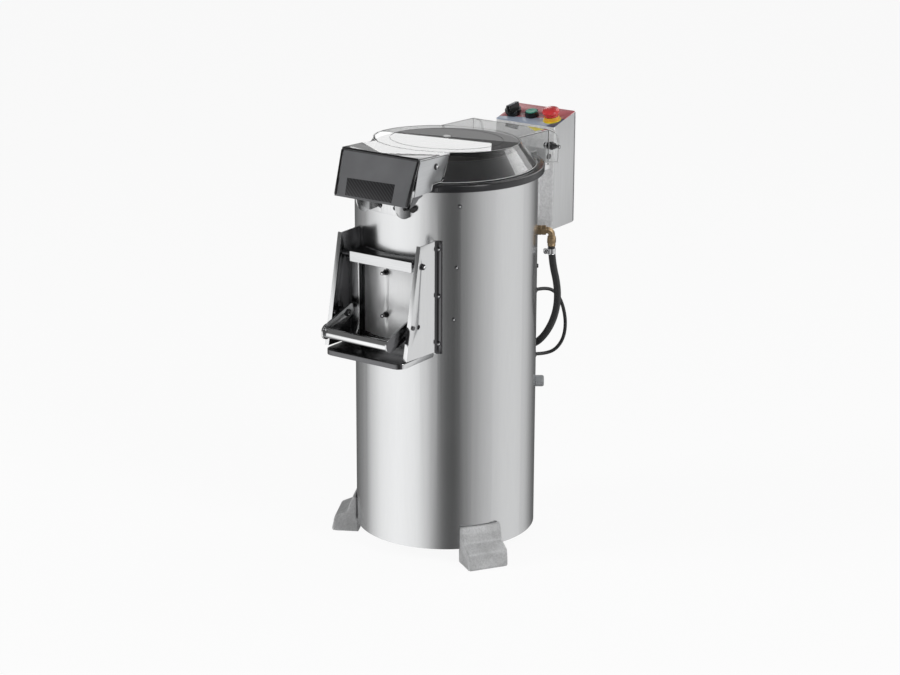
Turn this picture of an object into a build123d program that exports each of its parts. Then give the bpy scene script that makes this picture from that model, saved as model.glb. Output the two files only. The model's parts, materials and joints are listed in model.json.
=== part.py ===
from build123d import *
import math
import os

os.makedirs("parts", exist_ok=True)

# Electric potato peeler. Millimetres, +Z up. The origin is on the drum's axis at floor level,
# the discharge door faces -Y and the control box stands behind the drum at +Y.

# ---------------------------------------------------------------- drum and rim
drum_radius = 190.0
drum_wall = 1.5
drum_bottom = 30.0
drum_top = 796.0
ring_radius = 203.0
ring_inner_radius = 176.0
ring_height = 16.0

# ---------------------------------------------------------------- lid
lid_rim_radius = 186.0
lid_slope = 0.735            # radius that the lid's cone loses for each unit of height
lid_wall = 3.0
lid_crown = 48.5             # height of the lid's top above its rim, on the axis
lid_tilt = 2.7               # degrees that the lid's top falls towards the rear
lid_lift = 1.0               # gap between the rim ring and the closed lid
collar_height = 36.0
collar_gap = 3.0             # between the splash collar and the lid
tongue_half = 98.0           # half the width of the lid's rear tongue
tongue_back = 240.0
wing_start = 192.0           # where the wings may drop below the lid's rim
wing_back = 280.0
wing_drop = 42.0
hinge_y = 250.0
hinge_pin_radius = 4.0
front_half = 93.5            # half the width of the lid's front block
front_reach = 240.0
lid_front_lean = 14.0

# ---------------------------------------------------------------- visor on the lid's front
visor_sheet = 2.0
visor_half = 95.0
visor_foot_half = 89.0
visor_top_y = -230.0
visor_foot_y = -265.0
visor_drop = 90.0
visor_corner_y = -163.0      # rear corners of the visor's top
visor_notch_y = -229.0       # tip of the notch in the visor's top, before its rounding
visor_notch_radius = 25.0
cheek_rear_y = -126.0        # rear end of a cheek along the lid's top
cheek_rim_y = -150.0         # rear end of a cheek along the lid's rim
cheek_heel_y = -186.0        # where a cheek drops below the lid's rim
cheek_lean = 4.0             # how far a cheek's heel leans forwards
cheek_tuck = 17.5            # from the visor's foot back to the cheek's toe
cheek_bolt_y = -173.6
cheek_bolt_rise = 36.0
cheek_bolt_radius = 6.5

# ---------------------------------------------------------------- peeling chamber
plate_top = 452.0
plate_thickness = 12.0
plate_radius = 178.0
plate_gap = 7.0              # between the abrasive plate and the chamber floor
floor_sheet = 3.0
liner_wall = 4.0
liner_top = 780.0

# ---------------------------------------------------------------- discharge outlet and door
outlet_x = -9.5
outlet_half = 97.0           # from the outlet's centre to the side plates' inner faces
outlet_sheet = 2.0
opening_half = 70.0
opening_low = 480.0
opening_high = 640.0
side_low = 458.0
side_high = 695.0
side_top_y = -219.0
side_foot_y = -266.5
flange_width = 15.0
hem_width = 7.5
strip_width = 19.0
strip_y = -187.0
door_half = 77.0
panel_half = 73.5            # half the width of the door panel, which passes the handle's pivots
door_sheet = 1.7
door_gap = 0.3               # between the drum and the closed door
door_pivot_y = -213.5
door_pivot_z = 651.0
door_pivot_radius = 3.0
header_y = -219.0
header_height = 22.0
header_drop = 15.0           # from the door's pivot down to the header's edge
tray_top = 462.0
tray_front = -284.0
tray_rim = 11.0
tray_corner = 20.0

# ---------------------------------------------------------------- latch handle
handle_pivot_y = -225.3
handle_pivot_z = 528.0
handle_pivot_radius = 5.0
handle_tube_y = -297.0
handle_tube_z = 503.0
handle_tube_radius = 10.25
arm_thickness = 4.0
arm_inset = 15.5             # from the side plate's inner face to the arm

# ---------------------------------------------------------------- feet
foot_width = 88.0
foot_top = 80.0
foot_reach = 52.0            # how far a foot stands out from the drum
foot_crest = 4.0             # reach of its top, its shoulder, its step and its tread
foot_shoulder = 11.0
foot_step = 17.0
foot_tread = 44.0
foot_shoulder_height = 66.0
foot_step_height = 47.0
foot_tread_height = 35.0
foot_corner = 8.0            # rounding of its front corners
foot_ledge = 8.0             # how far a foot reaches under the drum
foot_gap = 1.0
foot_turn = -3.0             # the whole tripod's turn about the drum's axis
foot_spacing = 120.0
foot_hole_radius = 5.5
foot_hole_depth = 20.0
foot_bolt_circle = 215.0

# ---------------------------------------------------------------- control box
box_front = 296.0
box_back = 380.0
box_half = 75.0
box_sheet = 1.5
box_bottom = 616.0
box_front_top = 841.0
console_slope = 13.7
console_sheet = 1.5
cover_sheet = 2.0
duct_half = 40.0
duct_low = 640.0
duct_high = 760.0
duct_sheet = 2.0
duct_flange = 20.0
selector_place = (-48.5, 31.0)   # across the console and up its slope from the front edge
start_place = (-3.5, 35.0)
stop_place = (50.5, 30.0)
control_bore = 11.15
barrel_bore = 8.2
barrel_length = 24.0
press_travel = 4.0

# ---------------------------------------------------------------- drive
shaft_radius = 10.0
bearing_radius = 23.5
bearing_width = 14.0
drive_pitch_radius = 78.0
drive_ratio = 3.2
belt_thickness = 8.0
belt_width = 12.0
belt_height = 312.0
motor_y = 120.0
motor_radius = 55.0
motor_length = 175.0
mount_sheet = 6.0
mount_gap = 14.0             # between the motor's mounting plate and the pulleys
pulley_flange = 6.0          # from the belt's edge to the pulley's face
shaft_end = 2.0              # how far a shaft stands past its pulley

# ---------------------------------------------------------------- water and cable
service_angle = 124.6        # of the water inlet and the vent plug, from the front
inlet_height = 668.0
inlet_pipe_radius = 7.0
inlet_nut = 8.0              # height of each nut on the water inlet
inlet_gap = 1.0              # between the inlet's two nuts
inlet_bend = 10.0            # of the elbow's middle line
inlet_clear = 2.3            # straight length between the outer nut and the bend
inlet_drop_radius = drum_radius + 2 * inlet_nut + inlet_gap + inlet_bend + inlet_clear
hose_radius = 7.5
hose_start = 634.0
gland_angle = 148.0
gland_heights = (515.0, 371.0)
gland_reach = 20.0
cable_radius = 3.75
vent_height = 338.0
drain_angle = 215.0
drain_drop = 35.0            # from the chamber floor down to the drain pipe's axis
drain_reach = 55.0
drain_bend = 28.0
drain_radius = 25.0
drain_flange = 6.0
drain_offset = 145.0         # of the drain's hole in the floor from the drum's axis
vent_radius = 12.0
vent_bore = 9.0
vent_reach = 18.0
gland_bore = 6.0

# ---------------------------------------------------------------- latch bracket under the visor
latch_left = -62.5
latch_right = 39.0
latch_sheet = 2.0
latch_reach = 50.0
latch_height = 40.0
latch_low = drum_top - 56.0
latch_nose = 31.0            # height above its foot at which an ear reaches out furthest
latch_back = 8.0             # flat foot of an ear, in front of the drum

# ---------------------------------------------------------------- fits
running = 0.05               # radial clearance of a pin or shaft in its hole
loose = 0.3                  # clearance between faces of different moving bodies
through = 12.0               # depth of a hole that passes its sheet from the sheet's outer face
relief = 0.5                 # extra radius of the liner's holes round the screws

# ---------------------------------------------------------------- worked out
CENTRE = (Align.CENTER, Align.CENTER, Align.CENTER)
RISING = (Align.CENTER, Align.CENTER, Align.MIN)
HANGING = (Align.CENTER, Align.CENTER, Align.MAX)
slant = math.hypot(1, lid_slope)
drum_inner = drum_radius - drum_wall
ring_top = drum_top + ring_height
lid_low = ring_top + lid_lift
hinge_z = lid_low
plate_bottom = plate_top - plate_thickness
floor_top = plate_bottom - plate_gap
floor_bottom = floor_top - floor_sheet
drain_height = floor_bottom - drain_drop
pulley_half = belt_width / 2 + pulley_flange
motor_high = belt_height - pulley_half - mount_gap - mount_sheet
motor_low = motor_high - motor_length
foot_angles = [foot_turn + foot_spacing * step for step in (0.5, 1.5, -0.5)]
opening_corner = 12.0
outlet_right = outlet_x + outlet_half
outlet_left = outlet_x - outlet_half
arm_right = outlet_right - arm_inset - arm_thickness
arm_left = outlet_left + arm_inset
door_radius = drum_radius + door_gap + door_sheet
motor_pitch_radius = drive_pitch_radius / drive_ratio
console_rise = math.tan(math.radians(console_slope))
box_back_top = box_front_top + (box_back - box_front) * console_rise
visor_top_z = lid_low + lid_crown - visor_top_y * math.tan(math.radians(lid_tilt))


def outward(angle):
    """Unit vector away from the drum's axis at an angle from the front, positive to the right."""
    return Vector(math.sin(math.radians(angle)), -math.cos(math.radians(angle)), 0)


def on_drum(angle, height, radius=drum_radius):
    """Plane that touches a cylinder about the drum's axis and faces away from the axis."""
    sideways = Vector(math.cos(math.radians(angle)), math.sin(math.radians(angle)), 0)
    origin = outward(angle) * radius + Vector(0, 0, height)
    return Plane(origin=origin, x_dir=sideways, z_dir=outward(angle))


def angle_at(x, radius=drum_radius):
    """Angle from the front of the point at this x on the front half of a cylinder."""
    return math.degrees(math.asin(x / radius))


def facing_right(x, y, z):
    """Plane whose normal is +X."""
    return Plane(origin=(x, y, z), x_dir=(0, 1, 0), z_dir=(1, 0, 0))


def facing_left(x, y, z):
    """Plane whose normal is -X."""
    return Plane(origin=(x, y, z), x_dir=(0, -1, 0), z_dir=(-1, 0, 0))


def lid_top_at(y):
    """Height of the lid's tilted top at this y."""
    return lid_low + lid_crown - y * math.tan(math.radians(lid_tilt))


def button_screw(size, shank_length):
    """Button-head screw: the head stands on the plane and the shank hangs below it."""
    with BuildPart() as screw:
        Cylinder(0.9 * size, 0.55 * size, align=RISING)
        fillet(screw.edges().sort_by(Axis.Z)[-1], 0.3 * size)
        with BuildSketch(Plane.XY.offset(0.55 * size)):
            RegularPolygon(0.3 * size, 6)
        extrude(amount=-0.3 * size, mode=Mode.SUBTRACT)
        Cylinder(size / 2, shank_length, align=HANGING)
    return screw.part


def hex_nut(flats, height, bore_radius):
    """Hexagon nut standing on its plane, with its corners chamfered by a cone."""
    with BuildPart() as nut:
        with BuildSketch():
            RegularPolygon(flats / 2, 6, major_radius=False)
            Circle(bore_radius, mode=Mode.SUBTRACT)
        extrude(amount=height)
        with BuildSketch(Plane.XZ):
            with BuildLine():
                Polyline((0, 0), (0.52 * flats, 0), (0.58 * flats, 0.06 * flats),
                         (0.58 * flats, height - 0.06 * flats), (0.52 * flats, height),
                         (0, height), close=True)
            make_face()
        revolve(axis=Axis.Z, mode=Mode.INTERSECT)
    return nut.part


# ---------------------------------------------------------------- fastener places
side_screw_heights = (677.7, 579.8, 479.4)
drum_screw_places = (
    (42.8, 765.7), (41.1, 638.8), (39.5, 530.1), (service_angle, inlet_height - 77.0),
    (-141.0, 765.7), (-141.0, 638.8), (-141.0, 530.1),
)
ring_screw_angles = (29.2, 150.8, -150.8, -29.2)
screw_size = 5.0
screw_hole = screw_size / 2 + running
flange_screw_inset = 9.5     # from a side plate's inner face to its screws
flange_screw_angle = angle_at(outlet_right + flange_screw_inset, drum_radius + outlet_sheet)
left_screw_angle = angle_at(outlet_left + flange_screw_inset, drum_radius + outlet_sheet)
left_screw_heights = (529.0, 645.0)
duct_flange_heights = (duct_low + 20, duct_high - 20)
duct_screw_angle = 180 - angle_at(duct_half + duct_flange / 2)
latch_screw_height = latch_low + 15
latch_screw_angles = (angle_at(latch_left + 32), angle_at(latch_right - 31))
ring_screw_height = drum_top + ring_height * 0.45
ring_screw_radius = 2.0
foot_screw_height = drum_bottom + 32
foot_screw_spread = 7.0
foot_screw_size = 8.0

# ================================================================= drum
with BuildPart() as drum_shell:
    with BuildSketch(Plane.XY.offset(drum_bottom)):
        Circle(drum_radius)
        Circle(drum_inner, mode=Mode.SUBTRACT)
    extrude(amount=drum_top - drum_bottom)
    with BuildSketch(Plane.XZ):
        with Locations((outlet_x, (opening_low + opening_high) / 2)):
            RectangleRounded(2 * opening_half, opening_high - opening_low, opening_corner)
    extrude(amount=drum_radius + 10, mode=Mode.SUBTRACT)
    for angle, height in drum_screw_places:
        with Locations(on_drum(angle, height)):
            Hole(screw_hole, through)
    for height in side_screw_heights:
        with Locations(on_drum(flange_screw_angle, height)):
            Hole(screw_hole, through)
    for height in left_screw_heights:
        with Locations(on_drum(left_screw_angle, height)):
            Hole(screw_hole, through)
    for height in duct_flange_heights:
        with Locations(on_drum(duct_screw_angle, height), on_drum(-duct_screw_angle, height)):
            Hole(screw_hole, through)
    for angle in latch_screw_angles:
        with Locations(on_drum(angle, latch_screw_height)):
            Hole(screw_hole, through)
    for foot_angle in foot_angles:
        with Locations(on_drum(foot_angle - foot_screw_spread, foot_screw_height),
                       on_drum(foot_angle + foot_screw_spread, foot_screw_height)):
            Hole(foot_screw_size / 2 + running, through)
    with Locations(on_drum(service_angle, inlet_height)):
        Hole(inlet_pipe_radius + running, through)
    with Locations(on_drum(service_angle, vent_height)):
        Hole(vent_bore + running, through)
    for height in gland_heights:
        with Locations(on_drum(gland_angle, height)):
            Hole(gland_bore + running, through)
    with Locations(on_drum(drain_angle, drain_height)):
        Hole(drain_radius + running, 2 * through)
drum_shell.part.label = "drum_shell"
export_step(drum_shell.part, "parts/drum_shell.step")

with BuildPart() as top_ring:
    with BuildSketch(Plane.XY.offset(drum_top)):
        Circle(ring_radius)
        Circle(ring_inner_radius, mode=Mode.SUBTRACT)
    extrude(amount=ring_height)
    fillet(top_ring.edges().filter_by(GeomType.CIRCLE).group_by(SortBy.RADIUS)[-1], ring_height * 0.2)
    for angle in ring_screw_angles:
        with Locations(on_drum(angle, ring_screw_height, ring_radius)):
            Hole(ring_screw_radius + running, through)
top_ring.part.label = "top_ring"
export_step(top_ring.part, "parts/top_ring.step")

collar_foot_radius = lid_rim_radius - lid_wall * slant - collar_gap
collar_mouth_radius = collar_foot_radius - collar_height * lid_slope
with BuildPart() as splash_collar:
    with BuildSketch(Plane.XZ):
        with BuildLine():
            Polyline(
                (collar_foot_radius, ring_top),
                (collar_mouth_radius, ring_top + collar_height),
                (collar_mouth_radius - drum_wall * slant, ring_top + collar_height),
                (collar_foot_radius - drum_wall * slant, ring_top),
                close=True,
            )
        make_face()
    revolve(axis=Axis.Z)
splash_collar.part.label = "splash_collar"
export_step(splash_collar.part, "parts/splash_collar.step")

with BuildPart() as abrasive_liner:
    with BuildSketch(Plane.XY.offset(plate_top)):
        Circle(drum_inner)
        Circle(drum_inner - liner_wall, mode=Mode.SUBTRACT)
    extrude(amount=liner_top - plate_top)
    with BuildSketch(Plane.XZ):
        with Locations((outlet_x, (opening_low + opening_high) / 2)):
            RectangleRounded(2 * opening_half, opening_high - opening_low, opening_corner)
    extrude(amount=drum_radius, mode=Mode.SUBTRACT)
    with Locations(on_drum(service_angle, inlet_height)):
        Hole(inlet_pipe_radius + 5, 2 * through)
    for angle, height in drum_screw_places:
        with Locations(on_drum(angle, height)):
            Hole(screw_hole + relief, through)
    for height in side_screw_heights:
        with Locations(on_drum(flange_screw_angle, height)):
            Hole(screw_hole + relief, through)
    for height in left_screw_heights:
        with Locations(on_drum(left_screw_angle, height)):
            Hole(screw_hole + relief, through)
    for height in duct_flange_heights:
        with Locations(on_drum(duct_screw_angle, height), on_drum(-duct_screw_angle, height)):
            Hole(screw_hole + relief, through)
    for angle in latch_screw_angles:
        with Locations(on_drum(angle, latch_screw_height)):
            Hole(screw_hole + relief, through)
    with Locations(on_drum(gland_angle, gland_heights[0])):
        Hole(gland_bore + 5, through)
abrasive_liner.part.label = "abrasive_liner"
export_step(abrasive_liner.part, "parts/abrasive_liner.step")

# ================================================================= chamber floor and drive
housing_radius = bearing_radius + 8.5
housing_low = belt_height + 28
housing_flange_radius = 60.0
housing_flange = 8.0
neck_radius = bearing_radius + 2.5
drain_bore = drain_radius - 2
drain_place = outward(drain_angle) * drain_offset

with BuildPart() as chamber_floor:
    with BuildSketch(Plane.XY.offset(floor_bottom)):
        Circle(drum_inner)
        Circle(neck_radius, mode=Mode.SUBTRACT)
        with Locations((drain_place.X, drain_place.Y)):
            Circle(drain_bore, mode=Mode.SUBTRACT)
    extrude(amount=floor_sheet)
chamber_floor.part.label = "chamber_floor"
export_step(chamber_floor.part, "parts/chamber_floor.step")

upper_bearing_low = floor_bottom - 26
neck_rise = floor_sheet + 2
with BuildPart() as bearing_housing:
    with Locations((0, 0, housing_low)):
        Cylinder(housing_radius, floor_bottom - housing_low, align=RISING)
    with Locations((0, 0, floor_bottom)):
        Cylinder(housing_flange_radius, housing_flange, align=HANGING)
        Cylinder(neck_radius, neck_rise, align=RISING)
    with Locations((0, 0, housing_low)):
        Cylinder(bearing_radius - 3.5, floor_bottom + neck_rise - housing_low, align=RISING, mode=Mode.SUBTRACT)
        Cylinder(bearing_radius, bearing_width + 2, align=RISING, mode=Mode.SUBTRACT)
    with Locations((0, 0, upper_bearing_low)):
        Cylinder(bearing_radius, 100, align=RISING, mode=Mode.SUBTRACT)
bearing_housing.part.label = "bearing_housing"
export_step(bearing_housing.part, "parts/bearing_housing.step")

with BuildPart() as shaft_bearings:
    for low in (housing_low + 2, upper_bearing_low):
        with Locations((0, 0, low)):
            Cylinder(bearing_radius, bearing_width, align=RISING)
            Cylinder(shaft_radius + running, bearing_width, align=RISING, mode=Mode.SUBTRACT)
shaft_bearings.part.label = "shaft_bearings"
export_step(shaft_bearings.part, "parts/shaft_bearings.step")

with BuildPart() as shaft_seal:
    with Locations((0, 0, upper_bearing_low + bearing_width + 3)):
        Cylinder(bearing_radius, 8, align=RISING)
        Cylinder(shaft_radius + loose, 8, align=RISING, mode=Mode.SUBTRACT)
shaft_seal.part.label = "shaft_seal"
export_step(shaft_seal.part, "parts/shaft_seal.step")

with BuildPart() as drive_shaft:
    with Locations((0, 0, belt_height - pulley_half - shaft_end)):
        Cylinder(shaft_radius, plate_top - belt_height + pulley_half + shaft_end, align=RISING)
    with Locations((0, 0, plate_top)):
        Cylinder(shaft_radius + 5, 9, align=RISING)
    fillet(drive_shaft.edges().sort_by(Axis.Z)[-1], 5)
drive_shaft.part.label = "drive_shaft"
export_step(drive_shaft.part, "parts/drive_shaft.step")

ridge_height = 7.0
with BuildPart() as abrasive_plate:
    with BuildSketch(Plane.XY.offset(plate_bottom)):
        Circle(plate_radius)
        Circle(shaft_radius, mode=Mode.SUBTRACT)
    extrude(amount=plate_thickness)
    with BuildSketch(Plane.XY.offset(plate_top)):
        with PolarLocations(plate_radius * 0.56, 3, start_angle=30):
            SlotOverall(plate_radius * 0.68, 26)
    extrude(amount=ridge_height, taper=35)
abrasive_plate.part.label = "abrasive_plate"
export_step(abrasive_plate.part, "parts/abrasive_plate.step")


def belt_pulley(pitch_radius, bore_radius, centre_y):
    """Flanged pulley about a vertical axis, with a groove that the belt clears."""
    groove = pitch_radius - belt_thickness / 2 - loose
    with BuildPart() as pulley:
        with Locations((0, centre_y, belt_height)):
            Cylinder(pitch_radius + 2, 2 * pulley_half, align=CENTRE)
            Cylinder(bore_radius, 2 * pulley_half, align=CENTRE, mode=Mode.SUBTRACT)
        with BuildSketch(Plane.XY.offset(belt_height - belt_width / 2 - 1)):
            with Locations((0, centre_y)):
                Circle(pitch_radius + 5)
                Circle(groove, mode=Mode.SUBTRACT)
        extrude(amount=belt_width + 2, mode=Mode.SUBTRACT)
    return pulley.part


def belt_outline(growth):
    """Loop round both pulleys at this distance from their pitch circles."""
    with BuildSketch() as outline:
        Circle(drive_pitch_radius + growth)
        with Locations((0, motor_y)):
            Circle(motor_pitch_radius + growth)
        make_hull()
    return outline.sketch


with BuildPart() as drive_pulley:
    add(belt_pulley(drive_pitch_radius, shaft_radius, 0))
    with BuildSketch(Plane.XY.offset(belt_height - pulley_half)):
        with PolarLocations(drive_pitch_radius * 0.55, 5):
            Circle(drive_pitch_radius * 0.18)
    extrude(amount=2 * pulley_half, mode=Mode.SUBTRACT)
drive_pulley.part.label = "drive_pulley"
export_step(drive_pulley.part, "parts/drive_pulley.step")

with BuildPart() as drive_belt:
    with BuildSketch(Plane.XY.offset(belt_height - belt_width / 2)):
        add(belt_outline(belt_thickness / 2))
        add(belt_outline(-belt_thickness / 2), mode=Mode.SUBTRACT)
    extrude(amount=belt_width)
drive_belt.part.label = "drive_belt"
export_step(drive_belt.part, "parts/drive_belt.step")

with BuildPart() as motor_mount:
    with BuildSketch(Plane.XY.offset(motor_high)):
        Circle(drum_inner)
        with Locations((0, motor_y)):
            Rectangle(2 * drum_inner, 2 * (motor_radius + 10), mode=Mode.INTERSECT)
            Circle(motor_radius * 0.5, mode=Mode.SUBTRACT)
    extrude(amount=mount_sheet)
motor_mount.part.label = "motor_mount"
export_step(motor_mount.part, "parts/motor_mount.step")

motor_wall = 6.0
motor_cap = 12.0             # height of the motor's smooth ends, above and below its fins
rotor_radius = motor_radius - 15
with BuildPart() as motor_housing:
    with Locations((0, motor_y, motor_low)):
        Cylinder(motor_radius - 4, motor_length, align=RISING)
    with BuildSketch(Plane.XY.offset(motor_low + motor_cap)):
        with Locations((0, motor_y)):
            with PolarLocations(motor_radius - 5, 24):
                Rectangle(8, 2.5)
    extrude(amount=motor_length - 2 * motor_cap)
    with Locations((0, motor_y, motor_low + motor_wall)):
        Cylinder(rotor_radius + 2, motor_length - 2 * motor_wall, align=RISING, mode=Mode.SUBTRACT)
    with Locations((0, motor_y, motor_low)):
        Cylinder(shaft_radius + running, motor_length, align=RISING, mode=Mode.SUBTRACT)
motor_housing.part.label = "motor_housing"
export_step(motor_housing.part, "parts/motor_housing.step")

with BuildPart() as motor_rotor:
    with Locations((0, motor_y, motor_low)):
        Cylinder(shaft_radius, belt_height + pulley_half + shaft_end - motor_low, align=RISING)
    with Locations((0, motor_y, motor_low + motor_wall + motor_cap)):
        Cylinder(rotor_radius, motor_length - 2 * (motor_wall + motor_cap), align=RISING)
motor_rotor.part.label = "motor_rotor"
export_step(motor_rotor.part, "parts/motor_rotor.step")

with BuildPart() as motor_pulley:
    add(belt_pulley(motor_pitch_radius, shaft_radius, motor_y))
motor_pulley.part.label = "motor_pulley"
export_step(motor_pulley.part, "parts/motor_pulley.step")


# ================================================================= feet
def cast_foot(angle):
    """Cast foot: a ledge under the drum's edge, a steep shoulder, a step and a sloping tread."""
    side = Plane(origin=(0, 0, 0), x_dir=outward(angle), z_dir=-on_drum(angle, 0).x_dir)
    edge = drum_radius
    with BuildPart() as foot:
        with BuildSketch(side):
            with BuildLine():
                FilletPolyline(
                    (edge - foot_ledge, foot_top),
                    (edge + foot_crest, foot_top),
                    (edge + foot_shoulder, foot_shoulder_height),
                    (edge + foot_step, foot_step_height),
                    (edge + foot_tread, foot_tread_height),
                    (edge + foot_reach, 0),
                    (edge - foot_ledge, 0),
                    radius=(2, 8, 8, 8, 2),
                )
                Line((edge - foot_ledge, 0), (edge - foot_ledge, foot_top))
            make_face()
        extrude(amount=foot_width / 2, both=True)
        with BuildSketch(Plane(origin=(0, 0, 0), x_dir=outward(angle))):
            RectangleRounded(2 * (edge + foot_reach), foot_width, foot_corner)
        extrude(amount=foot_top, mode=Mode.INTERSECT)
        with BuildSketch(Plane.XY.offset(drum_bottom)):
            Circle(edge + foot_gap)
        extrude(amount=foot_top, mode=Mode.SUBTRACT)
        with Locations(on_drum(angle - foot_screw_spread, foot_screw_height),
                       on_drum(angle + foot_screw_spread, foot_screw_height)):
            Cylinder(foot_screw_size / 2 + running, 2 * foot_screw_size, align=CENTRE,
                     mode=Mode.SUBTRACT)
        with Locations(outward(angle) * foot_bolt_circle):
            Cylinder(foot_hole_radius, foot_hole_depth, align=RISING, mode=Mode.SUBTRACT)
    return foot.part


foot_names = ("foot_front_right", "foot_rear", "foot_front_left")
for foot_name, foot_angle in zip(foot_names, foot_angles):
    with BuildPart() as foot_piece:
        add(cast_foot(foot_angle))
    foot_piece.part.label = foot_name
    export_step(foot_piece.part, f"parts/{foot_name}.step")

foot_screw = button_screw(foot_screw_size, foot_screw_size + 1)
foot_screw_seat = drum_inner * math.cos(math.asin(0.9 * foot_screw_size / drum_inner)) - 0.01
with BuildPart() as foot_screws:
    for foot_angle in foot_angles:
        for turn in (-foot_screw_spread, foot_screw_spread):
            seat = on_drum(foot_angle + turn, foot_screw_height, foot_screw_seat)
            with Locations(Plane(origin=seat.origin, x_dir=seat.x_dir, z_dir=-seat.z_dir)):
                add(foot_screw)
foot_screws.part.label = "foot_screws"
export_step(foot_screws.part, "parts/foot_screws.step")


# ================================================================= discharge outlet
def outlet_side(low_x):
    """Side plate of the outlet: a flange lies on the drum and a hem stiffens the front edge."""
    rear = -drum_radius / 2
    lean_angle = math.atan2(side_foot_y - side_top_y, side_low - side_high)
    hem_y = outlet_sheet / abs(math.cos(lean_angle))
    with BuildPart() as side:
        with BuildSketch(Plane.YZ.offset(low_x)):
            with BuildLine():
                Polyline((rear, side_low), (side_foot_y, side_low + 7), (side_top_y, side_high - 2),
                         (rear, side_high), close=True)
            make_face()
        extrude(amount=outlet_sheet)
        with BuildSketch(Plane.YZ.offset(low_x)):
            with BuildLine():
                Polyline((side_foot_y, side_low + 7), (side_top_y, side_high - 2),
                         (side_top_y + hem_y, side_high - 2), (side_foot_y + hem_y, side_low + 7),
                         close=True)
            make_face()
        extrude(amount=-hem_width)
        with BuildSketch(Plane.XY.offset(side_low)):
            Circle(drum_radius)
        extrude(amount=side_high, mode=Mode.SUBTRACT)
        with BuildSketch(Plane.XY.offset(side_low)):
            Circle(drum_radius + outlet_sheet)
            Circle(drum_radius, mode=Mode.SUBTRACT)
            with Locations((low_x + flange_width / 2, -drum_radius)):
                Rectangle(flange_width, drum_radius * 1.5, mode=Mode.INTERSECT)
        extrude(amount=side_high - side_low)
        with Locations(facing_right(low_x, door_pivot_y, door_pivot_z)):
            Cylinder(door_pivot_radius + running, 3 * outlet_sheet, align=CENTRE, mode=Mode.SUBTRACT)
        with Locations(facing_right(low_x, handle_pivot_y, handle_pivot_z)):
            Cylinder(handle_pivot_radius + running, 3 * outlet_sheet, align=CENTRE,
                     mode=Mode.SUBTRACT)
    return side.part


with BuildPart() as side_plate_right:
    add(outlet_side(outlet_right))
    for height in side_screw_heights:
        with Locations(on_drum(flange_screw_angle, height, drum_radius + outlet_sheet)):
            Hole(screw_hole, through)
side_plate_right.part.label = "side_plate_right"
export_step(side_plate_right.part, "parts/side_plate_right.step")

with BuildPart() as side_plate_left:
    add(outlet_side(outlet_left - outlet_sheet))
    for height in left_screw_heights:
        with Locations(on_drum(left_screw_angle, height, drum_radius + outlet_sheet)):
            Hole(screw_hole, through)
side_plate_left.part.label = "side_plate_left"
export_step(side_plate_left.part, "parts/side_plate_left.step")

strip_low = side_low + 15
strip_high = door_pivot_z - 17
with BuildPart() as frame_strips:
    for wall_x, turn in ((outlet_left, 1), (outlet_right, -1)):
        with BuildSketch(Plane.XY.offset(strip_low)):
            with Locations((wall_x + turn * strip_width / 2, strip_y + outlet_sheet / 2)):
                Rectangle(strip_width, outlet_sheet)
            with Locations((wall_x + turn * outlet_sheet / 2, strip_y / 2)):
                Rectangle(outlet_sheet, -strip_y)
            Circle(drum_radius + outlet_sheet, mode=Mode.SUBTRACT)
        extrude(amount=strip_high - strip_low)
frame_strips.part.label = "frame_strips"
export_step(frame_strips.part, "parts/frame_strips.step")

def tray_outline(inset):
    """Outline of the tray with rounded front corners, inset on its front and sides."""
    with BuildSketch() as outline:
        with Locations((outlet_x, tray_front / 2)):
            Rectangle(2 * (outlet_half - inset), -tray_front - 2 * inset)
        fillet(outline.vertices().group_by(Axis.Y)[0], tray_corner - inset)
        Circle(drum_radius + outlet_sheet + inset, mode=Mode.SUBTRACT)
    return outline.sketch


with BuildPart() as outlet_tray:
    with BuildSketch(Plane.XY.offset(tray_top - tray_rim)):
        add(tray_outline(0))
    extrude(amount=tray_rim)
    with BuildSketch(Plane.XY.offset(tray_top - tray_rim)):
        add(tray_outline(outlet_sheet))
    extrude(amount=tray_rim - outlet_sheet, mode=Mode.SUBTRACT)
outlet_tray.part.label = "outlet_tray"
export_step(outlet_tray.part, "parts/outlet_tray.step")

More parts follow.
